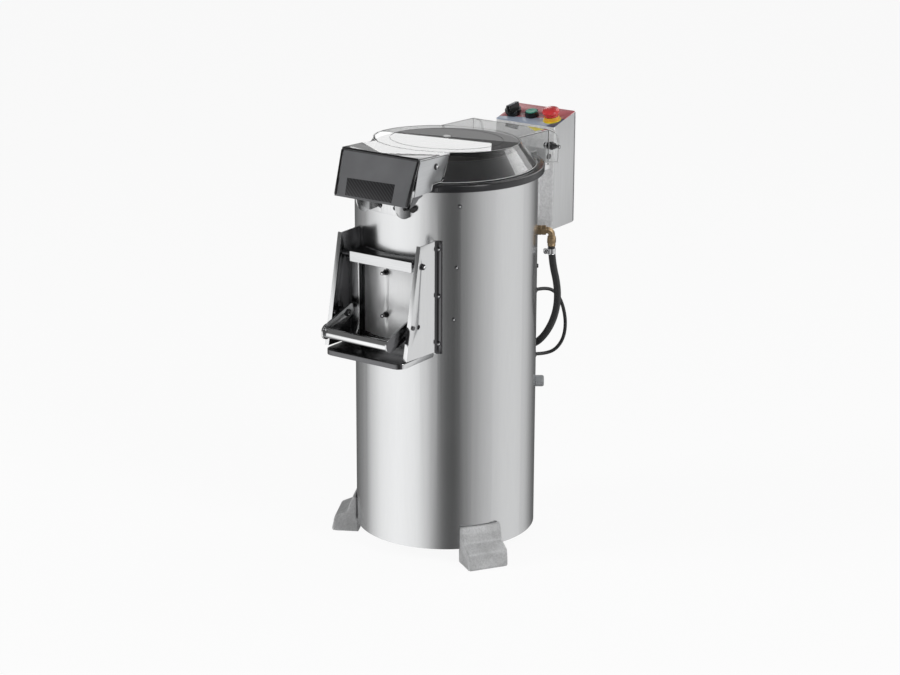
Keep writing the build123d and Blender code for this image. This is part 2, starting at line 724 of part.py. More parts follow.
# The strips' and plates' own screws, and the stops beside the handle.
strip_screw_height = (strip_low + strip_high) / 2 - 20
stop_reach = 20.7            # from the handle's pivot forwards to its stops
stop_rise = 3.2
stop_y = handle_pivot_y - stop_reach
stop_z = handle_pivot_z + stop_rise
stop_radius = 4.5
short_screw = button_screw(screw_size, outlet_sheet + 1)
with BuildPart() as drum_screws:
    for angle, height in drum_screw_places:
        with Locations(on_drum(angle, height)):
            add(short_screw)
    for height in side_screw_heights:
        with Locations(on_drum(flange_screw_angle, height, drum_radius + outlet_sheet)):
            add(short_screw)
    for height in left_screw_heights:
        with Locations(on_drum(left_screw_angle, height, drum_radius + outlet_sheet)):
            add(short_screw)
    for angle in latch_screw_angles:
        with Locations(on_drum(angle, latch_screw_height, drum_radius + outlet_sheet)):
            add(short_screw)
    for height in duct_flange_heights:
        with Locations(on_drum(duct_screw_angle, height, drum_radius + duct_sheet),
                       on_drum(-duct_screw_angle, height, drum_radius + duct_sheet)):
            add(short_screw)
    for angle in ring_screw_angles:
        with Locations(on_drum(angle, ring_screw_height, ring_radius)):
            Cylinder(2 * ring_screw_radius, 2.5, align=RISING)
            Cylinder(ring_screw_radius, 5, align=HANGING)
    with Locations(Plane.XZ.offset(-strip_y)):
        with Locations((outlet_left + strip_width / 2, strip_screw_height),
                       (outlet_right - strip_width / 2, strip_screw_height)):
            Cylinder(stop_radius, 2.8, align=RISING)
    with Locations(facing_left(outlet_right, stop_y, stop_z), facing_right(outlet_left, stop_y, stop_z)):
        Cylinder(stop_radius, 5, align=RISING)
    with Locations(facing_right(outlet_right + outlet_sheet, stop_y, stop_z),
                   facing_left(outlet_left - outlet_sheet, stop_y, stop_z)):
        Cylinder(stop_radius, 3, align=RISING)
drum_screws.part.label = "drum_screws"
export_step(drum_screws.part, "parts/drum_screws.step")

# ================================================================= discharge door
stud_radius = 4.0
stud_length = 15.5
lower_stud_rise = 49.0
upper_stud_drop = 21.7
stud_heights = (opening_low + lower_stud_rise, opening_high - upper_stud_drop)
stud_angle = angle_at(outlet_x - 4.5)
with BuildPart() as door_panel:
    with BuildSketch(Plane.XY.offset(opening_low - 2)):
        Circle(door_radius)
        Circle(door_radius - door_sheet, mode=Mode.SUBTRACT)
        with Locations((outlet_x, -drum_radius)):
            Rectangle(2 * panel_half, drum_radius * 1.5, mode=Mode.INTERSECT)
    extrude(amount=door_pivot_z - 1 - opening_low + 2)
    for height in stud_heights:
        with Locations(on_drum(stud_angle, height, door_radius)):
            Hole(stud_radius + running, through)
door_panel.part.label = "door_panel"
export_step(door_panel.part, "parts/door_panel.step")

header_low = door_pivot_z - header_drop
header_high = header_low + header_height
with BuildPart() as door_header:
    with BuildSketch(Plane.YZ.offset(outlet_x)):
        with BuildLine():
            Polyline((0, header_low), (header_y, header_low), (header_y, header_high),
                     (0, header_high), close=True)
        make_face()
    extrude(amount=door_half, both=True)
    fillet(door_header.edges().filter_by(Axis.X).sort_by(Axis.Y)[:2].sort_by(Axis.Z)[-1], 1.5)
    with BuildSketch(Plane.YZ.offset(outlet_x)):
        with BuildLine():
            Polyline((0, header_low), (header_y + door_sheet, header_low),
                     (header_y + door_sheet, header_high - door_sheet),
                     (0, header_high - door_sheet), close=True)
        make_face()
    extrude(amount=door_half - outlet_sheet, both=True, mode=Mode.SUBTRACT)
    with BuildSketch(Plane.XY.offset(header_low)):
        Circle(door_radius)
    extrude(amount=header_height, mode=Mode.SUBTRACT)
    with BuildSketch(Plane.XY.offset(door_pivot_z - 1)):
        Circle(door_radius + 0.8)
    extrude(amount=header_height, mode=Mode.SUBTRACT)
    with Locations(facing_right(outlet_x, door_pivot_y, door_pivot_z)):
        Cylinder(door_pivot_radius + running, 4 * door_half, align=CENTRE, mode=Mode.SUBTRACT)
door_header.part.label = "door_header"
export_step(door_header.part, "parts/door_header.step")

liner_inset = 3.0
with BuildPart() as door_liner:
    with BuildSketch(Plane.XY.offset(opening_low + liner_inset)):
        Circle(door_radius - door_sheet)
        Circle(drum_inner - liner_wall + 1, mode=Mode.SUBTRACT)
        with Locations((outlet_x, -drum_radius)):
            Rectangle(2 * (opening_half - liner_inset), drum_radius * 1.5, mode=Mode.INTERSECT)
    extrude(amount=opening_high - opening_low - 2 * liner_inset)
    fillet(door_liner.edges().filter_by(Axis.Y, tolerance=30).filter_by(GeomType.LINE), 9)
    for height in stud_heights:
        with Locations(on_drum(stud_angle, height, door_radius)):
            Cylinder(stud_radius + running, 3 * through, align=CENTRE, mode=Mode.SUBTRACT)
door_liner.part.label = "door_liner"
export_step(door_liner.part, "parts/door_liner.step")

stud_nut = hex_nut(11, 5, stud_radius)
with BuildPart() as door_studs:
    for height in stud_heights:
        with Locations(on_drum(stud_angle, height, door_radius)):
            Cylinder(stud_radius, stud_length, align=RISING)
            Cylinder(stud_radius, door_radius - drum_inner + 2, align=HANGING)
            add(stud_nut)
    fillet(door_studs.edges().filter_by(GeomType.CIRCLE).sort_by(Axis.Y)[:1], 1)
door_studs.part.label = "door_studs"
export_step(door_studs.part, "parts/door_studs.step")

# ================================================================= latch handle
arm_reach = handle_tube_radius + 4


def arm_outline():
    """Outline of a handle arm in the YZ plane, rounded about the tube."""
    with BuildSketch() as outline:
        with BuildLine():
            Polyline((handle_pivot_y + 16.5, handle_pivot_z + 19),
                     (handle_tube_y + 3, handle_tube_z + arm_reach + 4))
            ThreePointArc((handle_tube_y + 3, handle_tube_z + arm_reach + 4),
                          (handle_tube_y - arm_reach, handle_tube_z + 1),
                          (handle_tube_y + 6, handle_tube_z - arm_reach + 1))
            Polyline((handle_tube_y + 6, handle_tube_z - arm_reach + 1),
                     (handle_pivot_y - 24.7, handle_pivot_z - 26.5),
                     (handle_pivot_y + 19.5, handle_pivot_z - 4),
                     (handle_pivot_y + 16.5, handle_pivot_z + 19))
        make_face()
        fillet(outline.vertices().sort_by(Axis.X)[-2:], 6)
    return outline.sketch


with BuildPart() as handle_arms:
    for low_x in (arm_left, arm_right):
        with BuildSketch(Plane.YZ.offset(low_x)):
            add(arm_outline())
            with Locations((handle_pivot_y, handle_pivot_z)):
                Circle(handle_pivot_radius + running, mode=Mode.SUBTRACT)
        extrude(amount=arm_thickness)
handle_arms.part.label = "handle_arms"
export_step(handle_arms.part, "parts/handle_arms.step")

with BuildPart() as handle_tube:
    with BuildSketch(Plane.YZ.offset(arm_left + arm_thickness)):
        with Locations((handle_tube_y, handle_tube_z)):
            Circle(handle_tube_radius)
            Circle(handle_tube_radius - 1.5, mode=Mode.SUBTRACT)
    extrude(amount=arm_right - arm_left - arm_thickness)
handle_tube.part.label = "handle_tube"
export_step(handle_tube.part, "parts/handle_tube.step")

# Pivots stand on the side plates: a spacer, a shank that carries the moving piece, and its end.
pivot_head = 3.0
pivot_head_radius = 8.0
pivot_cap = 4.5
with BuildPart() as pivot_bolts:
    for inner, turn in ((outlet_right, 1), (outlet_left, -1)):
        face = facing_right if turn > 0 else facing_left
        door_end = outlet_x + turn * door_half
        door_seat = face(door_end + turn * loose, door_pivot_y, door_pivot_z)
        with Locations(door_seat):
            Cylinder(2 * door_pivot_radius, abs(inner - door_end) - loose, align=RISING)
            Cylinder(door_pivot_radius, abs(inner - door_end) + outlet_sheet, align=RISING)
            Cylinder(door_pivot_radius, outlet_sheet + 4, align=HANGING)
        with Locations(face(inner + turn * outlet_sheet, door_pivot_y, door_pivot_z)):
            Cylinder(2 * door_pivot_radius + 0.5, pivot_cap, align=RISING)
            with Locations((0, 0, pivot_cap)):
                Sphere(5, arc_size1=0)
        arm_face = arm_right + arm_thickness if turn > 0 else arm_left
        with Locations(face(arm_face + turn * loose, handle_pivot_y, handle_pivot_z)):
            Cylinder(pivot_head_radius + 1, arm_inset - loose, align=RISING)
            Cylinder(handle_pivot_radius, arm_inset + outlet_sheet, align=RISING)
            Cylinder(handle_pivot_radius, arm_thickness + 2 * loose, align=HANGING)
        with Locations(face(arm_face - turn * (arm_thickness + loose), handle_pivot_y, handle_pivot_z)):
            Cylinder(pivot_head_radius, pivot_head, align=HANGING)
        with Locations(face(inner + turn * outlet_sheet, handle_pivot_y, handle_pivot_z)):
            Cylinder(pivot_head_radius, pivot_head + 1, align=RISING)
pivot_bolts.part.label = "pivot_bolts"
export_step(pivot_bolts.part, "parts/pivot_bolts.step")


# ================================================================= lid
def lid_form(inset):
    """Closed form of the lid, with every face but the bottom moved inwards by the inset."""
    rim = lid_rim_radius - inset * slant
    height = lid_crown + 20
    nose = front_reach - inset
    top = Plane(origin=(0, 0, lid_top_at(0) - inset), x_dir=(1, 0, 0),
                z_dir=(0, math.sin(math.radians(lid_tilt)), math.cos(math.radians(lid_tilt))))
    with BuildPart() as form:
        with BuildSketch(Plane.XZ):
            with BuildLine():
                Polyline((0, lid_low), (rim, lid_low), (rim - lid_slope * height, lid_low + height),
                         (0, lid_low + height), close=True)
            make_face()
        revolve(axis=Axis.Z)
        with BuildSketch(Plane.YZ):
            with BuildLine():
                Polyline((0, lid_low), (-nose, lid_low), (-nose + lid_front_lean, lid_low + height),
                         (0, lid_low + height), close=True)
            make_face()
        extrude(amount=front_half - inset, both=True)
        with Locations((0, 0, lid_low)):
            Box(2 * (tongue_half - inset), tongue_back - inset, height,
                align=(Align.CENTER, Align.MIN, Align.MIN))
        split(bisect_by=top, keep=Keep.BOTTOM)
    return form.part


back_wall_drop = 39.0
with BuildPart() as lid_shell:
    add(lid_form(0))
    add(lid_form(lid_wall), mode=Mode.SUBTRACT)
    for side in (-1, 1):
        with BuildSketch(Plane.YZ.offset(side * (tongue_half - lid_wall / 2))):
            with BuildLine():
                Polyline((tongue_back - 2, lid_top_at(tongue_back)), (wing_start, lid_low + 5),
                         (wing_start + 4, lid_low - 28), (wing_back - 3, lid_low - wing_drop),
                         (wing_back, lid_low - 4))
                ThreePointArc((wing_back, lid_low - 4),
                              (wing_back - 12, lid_low - 4 + 29),
                              (tongue_back - 2, lid_top_at(tongue_back)))
            make_face()
        extrude(amount=lid_wall / 2, both=True)
    with Locations((0, tongue_back, lid_low + 1)):
        Box(2 * tongue_half, lid_wall, back_wall_drop + 1, align=(Align.CENTER, Align.MAX, Align.MAX))
    with Locations(facing_right(0, hinge_y, hinge_z)):
        Cylinder(hinge_pin_radius + running, 3 * tongue_half, align=CENTRE, mode=Mode.SUBTRACT)
lid_shell.part.label = "lid_shell"
export_step(lid_shell.part, "parts/lid_shell.step")

visor_length = math.hypot(visor_foot_y - visor_top_y, visor_drop)
visor_face = Plane(origin=(0, visor_top_y, visor_top_z), x_dir=(1, 0, 0),
                   z_dir=(0, -visor_drop, visor_top_y - visor_foot_y))
lid_plane = Plane(origin=(0, 0, lid_top_at(0)), x_dir=(1, 0, 0),
                  z_dir=(0, math.sin(math.radians(lid_tilt)), math.cos(math.radians(lid_tilt))))
with BuildPart() as visor:
    with BuildSketch(visor_face):
        with BuildLine():
            Polyline((-visor_half, visor_sheet), (visor_half, visor_sheet),
                     (visor_foot_half, -visor_length), (-visor_foot_half, -visor_length), close=True)
        make_face()
    extrude(amount=-visor_sheet)
    with BuildSketch(lid_plane):
        with BuildLine():
            FilletPolyline((-visor_half, visor_corner_y), (0, visor_notch_y), (visor_half, visor_corner_y),
                           radius=visor_notch_radius)
            Polyline((visor_half, visor_corner_y), (visor_half, visor_top_y),
                     (-visor_half, visor_top_y), (-visor_half, visor_corner_y))
        make_face()
    extrude(amount=visor_sheet)
visor.part.label = "visor"
export_step(visor.part, "parts/visor.step")

with BuildPart() as visor_cheeks:
    for side in (-1, 1):
        with BuildSketch(Plane.YZ.offset(side * (front_half + (visor_half - front_half) / 2))):
            with BuildLine():
                Polyline((visor_top_y + visor_sheet + loose, lid_top_at(visor_top_y)),
                         (cheek_rear_y, lid_top_at(cheek_rear_y)), (cheek_rim_y, lid_low + 1),
                         (cheek_heel_y, lid_low + 1), (cheek_heel_y - cheek_lean, lid_low - 11),
                         (visor_foot_y + cheek_tuck, lid_low - 13), close=True)
            make_face()
        extrude(amount=(visor_half - front_half) / 2, both=True)
    add(lid_form(0), mode=Mode.SUBTRACT)
    add(visor.part, mode=Mode.SUBTRACT)
visor_cheeks.part.label = "visor_cheeks"
export_step(visor_cheeks.part, "parts/visor_cheeks.step")

with BuildPart() as lid_screws:
    with Locations(facing_right(visor_half, cheek_bolt_y, lid_low + cheek_bolt_rise),
                   facing_left(-visor_half, cheek_bolt_y, lid_low + cheek_bolt_rise)):
        Cylinder(cheek_bolt_radius, 4, align=RISING)
lid_screws.part.label = "lid_screws"
export_step(lid_screws.part, "parts/lid_screws.step")

# ================================================================= lid hinge, latch bracket
ear_inner = 85.0
ear_sheet = 3.0
ear_radius = 9.0
with BuildPart() as hinge_bracket:
    with BuildSketch(Plane.XY.offset(duct_high)):
        with Locations((0, hinge_y - 6)):
            Rectangle(2 * (ear_inner + ear_sheet), 2 * ear_radius + 12)
    extrude(amount=ear_sheet)
    with Locations((0, hinge_y + ear_radius, duct_high)):
        Box(2 * (ear_inner + ear_sheet), ear_sheet, hinge_z - duct_high - ear_radius - 1,
            align=(Align.CENTER, Align.MAX, Align.MIN))
    for side in (-1, 1):
        with BuildSketch(Plane.YZ.offset(side * (ear_inner + ear_sheet / 2))):
            with Locations((hinge_y, (duct_high + hinge_z) / 2)):
                Rectangle(2 * ear_radius, hinge_z - duct_high)
            with Locations((hinge_y, hinge_z)):
                Circle(ear_radius)
                Circle(hinge_pin_radius + running, mode=Mode.SUBTRACT)
        extrude(amount=ear_sheet / 2, both=True)
hinge_bracket.part.label = "hinge_bracket"
export_step(hinge_bracket.part, "parts/hinge_bracket.step")

pin_nut = hex_nut(13, 6, hinge_pin_radius)
wing_inner = tongue_half - lid_wall
with BuildPart() as hinge_pins:
    for face, side in ((facing_right, 1), (facing_left, -1)):
        with Locations(face(side * (ear_inner + ear_sheet), hinge_y, hinge_z)):
            Cylinder(8, wing_inner - ear_inner - ear_sheet - loose, align=RISING)
            Cylinder(hinge_pin_radius, tongue_half - ear_inner - ear_sheet + 20, align=RISING)
            Cylinder(hinge_pin_radius, ear_sheet, align=HANGING)
        with Locations(face(side * ear_inner, hinge_y, hinge_z)):
            Cylinder(7, 4, align=HANGING)
        with Locations(face(side * (tongue_half + loose), hinge_y, hinge_z)):
            Cylinder(9, 1.5, align=RISING)
        with Locations(face(side * (tongue_half + loose + 1.5), hinge_y, hinge_z)):
            add(pin_nut)
        with Locations(face(side * (ear_inner + ear_sheet), hinge_y, hinge_z - 24)):
            Cylinder(5.5, 4, align=RISING)
hinge_pins.part.label = "hinge_pins"
export_step(hinge_pins.part, "parts/hinge_pins.step")

with BuildPart() as latch_bracket:
    for low_x in (latch_left, latch_right):
        rear = math.sqrt(drum_radius ** 2 - low_x ** 2)
        inside = -rear + 25
        with BuildSketch(Plane.YZ.offset(low_x)):
            with BuildLine():
                Line((inside, latch_low), (-rear - latch_back, latch_low))
                ThreePointArc((-rear - latch_back, latch_low),
                              (-rear - latch_reach * 0.8, latch_low + latch_nose * 0.35),
                              (-rear - latch_reach, latch_low + latch_nose))
                Polyline((-rear - latch_reach, latch_low + latch_nose),
                         (-rear - latch_reach + 3, latch_low + latch_height),
                         (inside, latch_low + latch_height), (inside, latch_low))
            make_face()
        extrude(amount=latch_sheet)
    with BuildSketch(Plane.XY.offset(latch_low)):
        Circle(drum_radius)
    extrude(amount=latch_height, mode=Mode.SUBTRACT)
    with BuildSketch(Plane.XY.offset(latch_low)):
        Circle(drum_radius + latch_sheet)
        Circle(drum_radius, mode=Mode.SUBTRACT)
        with Locations(((latch_left + latch_right + latch_sheet) / 2, -drum_radius)):
            Rectangle(latch_right + latch_sheet - latch_left, drum_radius * 1.5, mode=Mode.INTERSECT)
    extrude(amount=latch_height)
    for angle in latch_screw_angles:
        with Locations(on_drum(angle, latch_screw_height, drum_radius + latch_sheet)):
            Hole(screw_hole, through)
latch_bracket.part.label = "latch_bracket"
export_step(latch_bracket.part, "parts/latch_bracket.step")

with BuildPart() as lid_buffer:
    with Locations(on_drum(angle_at(latch_right + 10), latch_low + 18)):
        Cylinder(6.5, 11, align=RISING)
    fillet(lid_buffer.edges().filter_by(GeomType.CIRCLE).sort_by(Axis.Y)[:1], 2)
lid_buffer.part.label = "lid_buffer"
export_step(lid_buffer.part, "parts/lid_buffer.step")

# ================================================================= control box
console = Plane(origin=(0, box_front, box_front_top), x_dir=(1, 0, 0),
                z_dir=(0, -math.sin(math.radians(console_slope)), math.cos(math.radians(console_slope))))
console_top = console.offset(console_sheet)
control_places = (selector_place, start_place, stop_place)


def box_outline(inset, rear_inset):
    """Side outline of the control box, inset on its front, top and bottom."""
    front = box_front + inset
    back = box_back - rear_inset
    front_top = box_front_top - inset / math.cos(math.radians(console_slope)) + inset * console_rise
    with BuildSketch() as outline:
        with BuildLine():
            Polyline((front, box_bottom + inset), (back, box_bottom + inset),
                     (back, front_top + (back - front) * console_rise), (front, front_top), close=True)
        make_face()
    return outline.sketch


with BuildPart() as control_box:
    with BuildSketch(Plane.YZ):
        add(box_outline(0, 0))
    extrude(amount=box_half, both=True)
    fillet(control_box.edges().filter_by(Axis.Z), 4)
    with BuildSketch(Plane.YZ):
        add(box_outline(box_sheet, -1))
    extrude(amount=box_half - box_sheet, both=True, mode=Mode.SUBTRACT)
    with BuildSketch(Plane.XZ.offset(-box_front - 10)):
        with Locations((0, (duct_low + duct_high) / 2)):
            Rectangle(2 * (duct_half - duct_sheet - 4), duct_high - duct_low - 2 * duct_sheet - 8)
    extrude(amount=20, mode=Mode.SUBTRACT)
    with Locations(console):
        with Locations(*control_places):
            Hole(control_bore, 20)
control_box.part.label = "control_box"
export_step(control_box.part, "parts/control_box.step")

with BuildPart() as console_panel:
    with BuildSketch(console):
        with Locations((0, (box_back - box_front) / 2 / math.cos(math.radians(console_slope)))):
            RectangleRounded(2 * box_half, (box_back - box_front) / math.cos(math.radians(console_slope)), 3)
    extrude(amount=console_sheet)
    with Locations(console_top):
        with Locations(*control_places):
            Hole(control_bore, 20)
console_panel.part.label = "console_panel"
export_step(console_panel.part, "parts/console_panel.step")

cover_screw_spread = box_half - 10
with BuildPart() as box_rear_cover:
    with Locations((0, box_back, box_bottom)):
        Box(2 * box_half, cover_sheet, box_back_top - box_bottom, align=(Align.CENTER, Align.MIN, Align.MIN))
    fillet(box_rear_cover.edges().filter_by(Axis.Y), 4)
    with Locations(Plane(origin=(0, box_back + cover_sheet, (box_bottom + box_back_top) / 2),
                         x_dir=(-1, 0, 0), z_dir=(0, 1, 0))):
        with GridLocations(2 * cover_screw_spread, box_back_top - box_bottom - 24, 2, 2):
            Cylinder(4.5, 2.5, align=RISING)
box_rear_cover.part.label = "box_rear_cover"
export_step(box_rear_cover.part, "parts/box_rear_cover.step")

with BuildPart() as box_bracket:
    with Locations((0, 0, (duct_low + duct_high) / 2)):
        Box(2 * duct_half, box_front, duct_high - duct_low, align=(Align.CENTER, Align.MIN, Align.CENTER))
        Box(2 * (duct_half - duct_sheet), box_front, duct_high - duct_low - 2 * duct_sheet,
            align=(Align.CENTER, Align.MIN, Align.CENTER), mode=Mode.SUBTRACT)
    with BuildSketch(Plane.XY.offset(duct_low)):
        Circle(drum_radius)
    extrude(amount=duct_high - duct_low, mode=Mode.SUBTRACT)
    for side in (-1, 1):
        with BuildSketch(Plane.XY.offset(duct_low)):
            Circle(drum_radius + duct_sheet)
            Circle(drum_radius, mode=Mode.SUBTRACT)
            with Locations((side * (duct_half + duct_flange / 2 - duct_sheet), drum_radius)):
                Rectangle(duct_flange, drum_radius, mode=Mode.INTERSECT)
        extrude(amount=duct_high - duct_low)
    for height in duct_flange_heights:
        for angle in (duct_screw_angle, -duct_screw_angle):
            with Locations(on_drum(angle, height, drum_radius + duct_sheet)):
                Hole(screw_hole, through)
box_bracket.part.label = "box_bracket"
export_step(box_bracket.part, "parts/box_bracket.step")

contactor_place = (-30, box_back, box_bottom + 60)
contactor_size = (45, 62, 80)
terminal_place = (35, box_back, box_bottom + 60)
terminal_size = (50, 30, 110)
with BuildPart() as contactor:
    with Locations(contactor_place):
        Box(*contactor_size, align=(Align.CENTER, Align.MAX, Align.CENTER))
    fillet(contactor.edges().filter_by(Axis.Y), 2)
    with Locations(terminal_place):
        Box(*terminal_size, align=(Align.CENTER, Align.MAX, Align.CENTER))
contactor.part.label = "contactor"
export_step(contactor.part, "parts/contactor.step")

# ================================================================= switches
barrel_drop = box_sheet + console_sheet + barrel_length
bezel_radius = 15.0
bezel_height = 5.5
start_bezel_height = 11.5
cap_radius = 12.0
cap_height = 2.8
button_recess = 4.6
button_travel = 3.0
knob_radius = 18.0
knob_skirt = 8.0
lever_height = 10.0
lever_width = 13.0
lever_turn = 75.0
mushroom_radius = 19.0
mushroom_neck = 14.5
mushroom_flare = 8.0
mushroom_height = 9.0
block_size = (28, 38, 26)
with BuildPart() as control_bezels:
    with Locations(console_top):
        with Locations(*control_places):
            Cylinder(control_bore - running, barrel_drop, align=HANGING)
            Cylinder(bezel_radius, bezel_height, align=RISING)
        with Locations(start_place):
            Cylinder(bezel_radius, start_bezel_height, align=RISING)
    flats = control_bezels.faces().filter_by(GeomType.PLANE)
    fillet(flats.sort_by(Axis(console.origin, console.z_dir))[-3:].edges(), 1.2)
    with Locations(console_top.offset(bezel_height)):
        with Locations(*control_places):
            Cylinder(barrel_bore, 2 * barrel_drop, align=CENTRE, mode=Mode.SUBTRACT)
    with Locations(console_top.offset(start_bezel_height)):
        with Locations(start_place):
            Cylinder(cap_radius + loose, button_recess, align=HANGING, mode=Mode.SUBTRACT)
control_bezels.part.label = "control_bezels"
export_step(control_bezels.part, "parts/control_bezels.step")

block_top = console_sheet - barrel_drop
with BuildPart() as contact_blocks:
    with Locations(console.offset(block_top)):
        with Locations(*control_places):
            Box(*block_size, align=HANGING)
    fillet(contact_blocks.edges().filter_by(Axis(console.origin, console.z_dir)), 1.5)
contact_blocks.part.label = "contact_blocks"
export_step(contact_blocks.part, "parts/contact_blocks.step")

stem_radius = barrel_bore - loose
stem_length = barrel_drop - press_travel - 2
with BuildPart() as selector_knob:
    with Locations(console_top.offset(bezel_height + loose)):
        with Locations(selector_place):
            Cylinder(knob_radius, knob_skirt, align=RISING)
            Cylinder(stem_radius, stem_length, align=HANGING)
    fillet(selector_knob.edges().filter_by(GeomType.CIRCLE).group_by(SortBy.RADIUS)[-1], 1.5)
    with BuildSketch(console_top.offset(bezel_height + loose + knob_skirt)):
        with Locations(selector_place):
            SlotOverall(2 * knob_radius - 1, lever_width, rotation=lever_turn)
    extrude(amount=lever_height, taper=4)
selector_knob.part.label = "selector_knob"
export_step(selector_knob.part, "parts/selector_knob.step")

with BuildPart() as start_button:
    with Locations(console_top.offset(start_bezel_height - button_recess + button_travel + loose)):
        with Locations(start_place):
            Cylinder(cap_radius, cap_height, align=RISING)
            Cylinder(stem_radius, stem_length - button_travel + start_bezel_height - bezel_height, align=HANGING)
    fillet(start_button.faces().sort_by(Axis(console.origin, console.z_dir))[-1].edges(), 0.8)
start_button.part.label = "start_button"
export_step(start_button.part, "parts/start_button.step")

with BuildPart() as estop_head:
    with Locations(console_top.offset(bezel_height)):
        with Locations(stop_place):
            Cylinder(stem_radius, stem_length, align=HANGING)
            Cylinder(stem_radius, press_travel + 3, align=RISING)
    with Locations(console_top.offset(bezel_height + press_travel + 2)):
        with Locations(stop_place):
            Cone(mushroom_neck, mushroom_radius, mushroom_flare, align=RISING)
    with Locations(console_top.offset(bezel_height + press_travel + 2 + mushroom_flare)):
        with Locations(stop_place):
            Cylinder(mushroom_radius, mushroom_height, align=RISING)
    fillet(estop_head.faces().sort_by(Axis(console.origin, console.z_dir))[-1].edges(), 5)
estop_head.part.label = "estop_head"
export_step(estop_head.part, "parts/estop_head.step")

# ================================================================= water inlet and hose
inlet_axis = outward(service_angle) * inlet_drop_radius
with BuildPart() as inlet_elbow:
    with BuildLine():
        FilletPolyline(outward(service_angle) * (drum_inner - liner_wall - 6) + Vector(0, 0, inlet_height),
                       inlet_axis + Vector(0, 0, inlet_height),
                       inlet_axis + Vector(0, 0, hose_start), radius=inlet_bend)
    with BuildSketch(on_drum(service_angle, inlet_height, drum_inner - liner_wall - 6)):
        Circle(inlet_pipe_radius)
    sweep()
inlet_elbow.part.label = "inlet_elbow"
export_step(inlet_elbow.part, "parts/inlet_elbow.step")

bulkhead_nut = hex_nut(19, inlet_nut, inlet_pipe_radius)
pipe_nut = hex_nut(17, 16, inlet_pipe_radius)
with BuildPart() as inlet_nuts:
    with Locations(on_drum(service_angle, inlet_height),
                   on_drum(service_angle, inlet_height, drum_radius + inlet_nut + inlet_gap)):
        add(bulkhead_nut)
    with Locations(inlet_axis + Vector(0, 0, hose_start + 6)):
        add(pipe_nut)
inlet_nuts.part.label = "inlet_nuts"
export_step(inlet_nuts.part, "parts/inlet_nuts.step")

with BuildPart() as spray_nozzle:
    with Locations(on_drum(service_angle, inlet_height, drum_inner - liner_wall - 6)):
        Cone(11, 8, 14, align=HANGING)
spray_nozzle.part.label = "spray_nozzle"
export_step(spray_nozzle.part, "parts/spray_nozzle.step")


def cord_tube(points, radius, name):
    """Tube along a route of straight runs joined by tangent arcs; prints the arcs' radii."""
    route = [Vector(*point) for point in points]
    radii = []
    for before, corner, after in zip(route, route[1:], route[2:]):
        half_turn = math.radians((corner - before).get_angle(after - corner)) / 2
        shorter = min((corner - before).length, (after - corner).length)
        radii.append(0.45 * shorter / math.tan(half_turn))
    print(name, "radii", [round(value, 1) for value in radii])
    with BuildPart() as tube:
        with BuildLine() as path:
            FilletPolyline(*route, radius=radii)
        with BuildSketch(Plane(origin=route[0], z_dir=route[1] - route[0])):
            Circle(radius)
        sweep()
    length = sum(edge.length for edge in path.edges())
    print(name, "length", round(length, 1), "volume ratio",
          round(tube.part.volume / (math.pi * radius ** 2 * length), 5))
    return tube.part


hose_route = (
    (inlet_axis.X, inlet_axis.Y, hose_start), (181.9, 125.5, 600), (189.8, 137.0, 545),
    (184.1, 145.2, 495), (161.2, 157.3, 447), (119.2, 179.4, 400), (68.9, 203.0, 374),
    (20, 219, 366), (-22, 219, 365),
)
water_hose_tube = cord_tube(hose_route, hose_radius, "water_hose")
with BuildPart() as water_hose:
    add(water_hose_tube)
water_hose.part.label = "water_hose"
export_step(water_hose.part, "parts/water_hose.step")

clamp_place = Plane(origin=(inlet_axis.X, inlet_axis.Y, hose_start - 17), x_dir=-outward(service_angle),
                    z_dir=(0, 0, 1))
with BuildPart() as hose_clamp:
    with Locations(clamp_place):
        Cylinder(hose_radius + 1.3, 12, align=RISING)
        Cylinder(hose_radius, 12, align=RISING, mode=Mode.SUBTRACT)
        with Locations(Location((hose_radius + 5.2, 0, 6), (90, 0, 0))):
            Cylinder(4.5, 16, align=CENTRE)
hose_clamp.part.label = "hose_clamp"
export_step(hose_clamp.part, "parts/hose_clamp.step")

valve_spot = Vector(*hose_route[-1])
valve_spigot = 12.0
valve_size = (40, 30, 34)
valve_inlet_radius = 13.0
valve_inlet_length = 26.0
coil_radius = 15.0
coil_height = 34.0
valve_middle = valve_spigot + valve_size[0] / 2
with BuildPart() as water_valve:
    with Locations(facing_left(valve_spot.X, valve_spot.Y, valve_spot.Z)):
        Cylinder(hose_radius + 2, valve_spigot, align=RISING)
    with Locations(valve_spot - Vector(valve_spigot, 0, 0)):
        Box(*valve_size, align=(Align.MAX, Align.CENTER, Align.CENTER))
    fillet(water_valve.edges().filter_by(Axis.X), 4)
    with Locations(valve_spot - Vector(valve_middle, 0, -valve_size[2] / 2)):
        Cylinder(coil_radius, coil_height, align=RISING)
    with Locations(facing_left(valve_spot.X - valve_spigot - valve_size[0], valve_spot.Y, valve_spot.Z)):
        Cylinder(valve_inlet_radius, valve_inlet_length, align=RISING)
    with Locations(valve_spot - Vector(valve_middle, 0, 0)):
        Box(valve_size[0] - 4, drum_radius, 24, align=(Align.CENTER, Align.MAX, Align.CENTER))
    with BuildSketch(Plane.XY.offset(valve_spot.Z - valve_size[2])):
        Circle(drum_radius)
    extrude(amount=2 * valve_size[2], mode=Mode.SUBTRACT)
water_valve.part.label = "water_valve"
export_step(water_valve.part, "parts/water_valve.step")

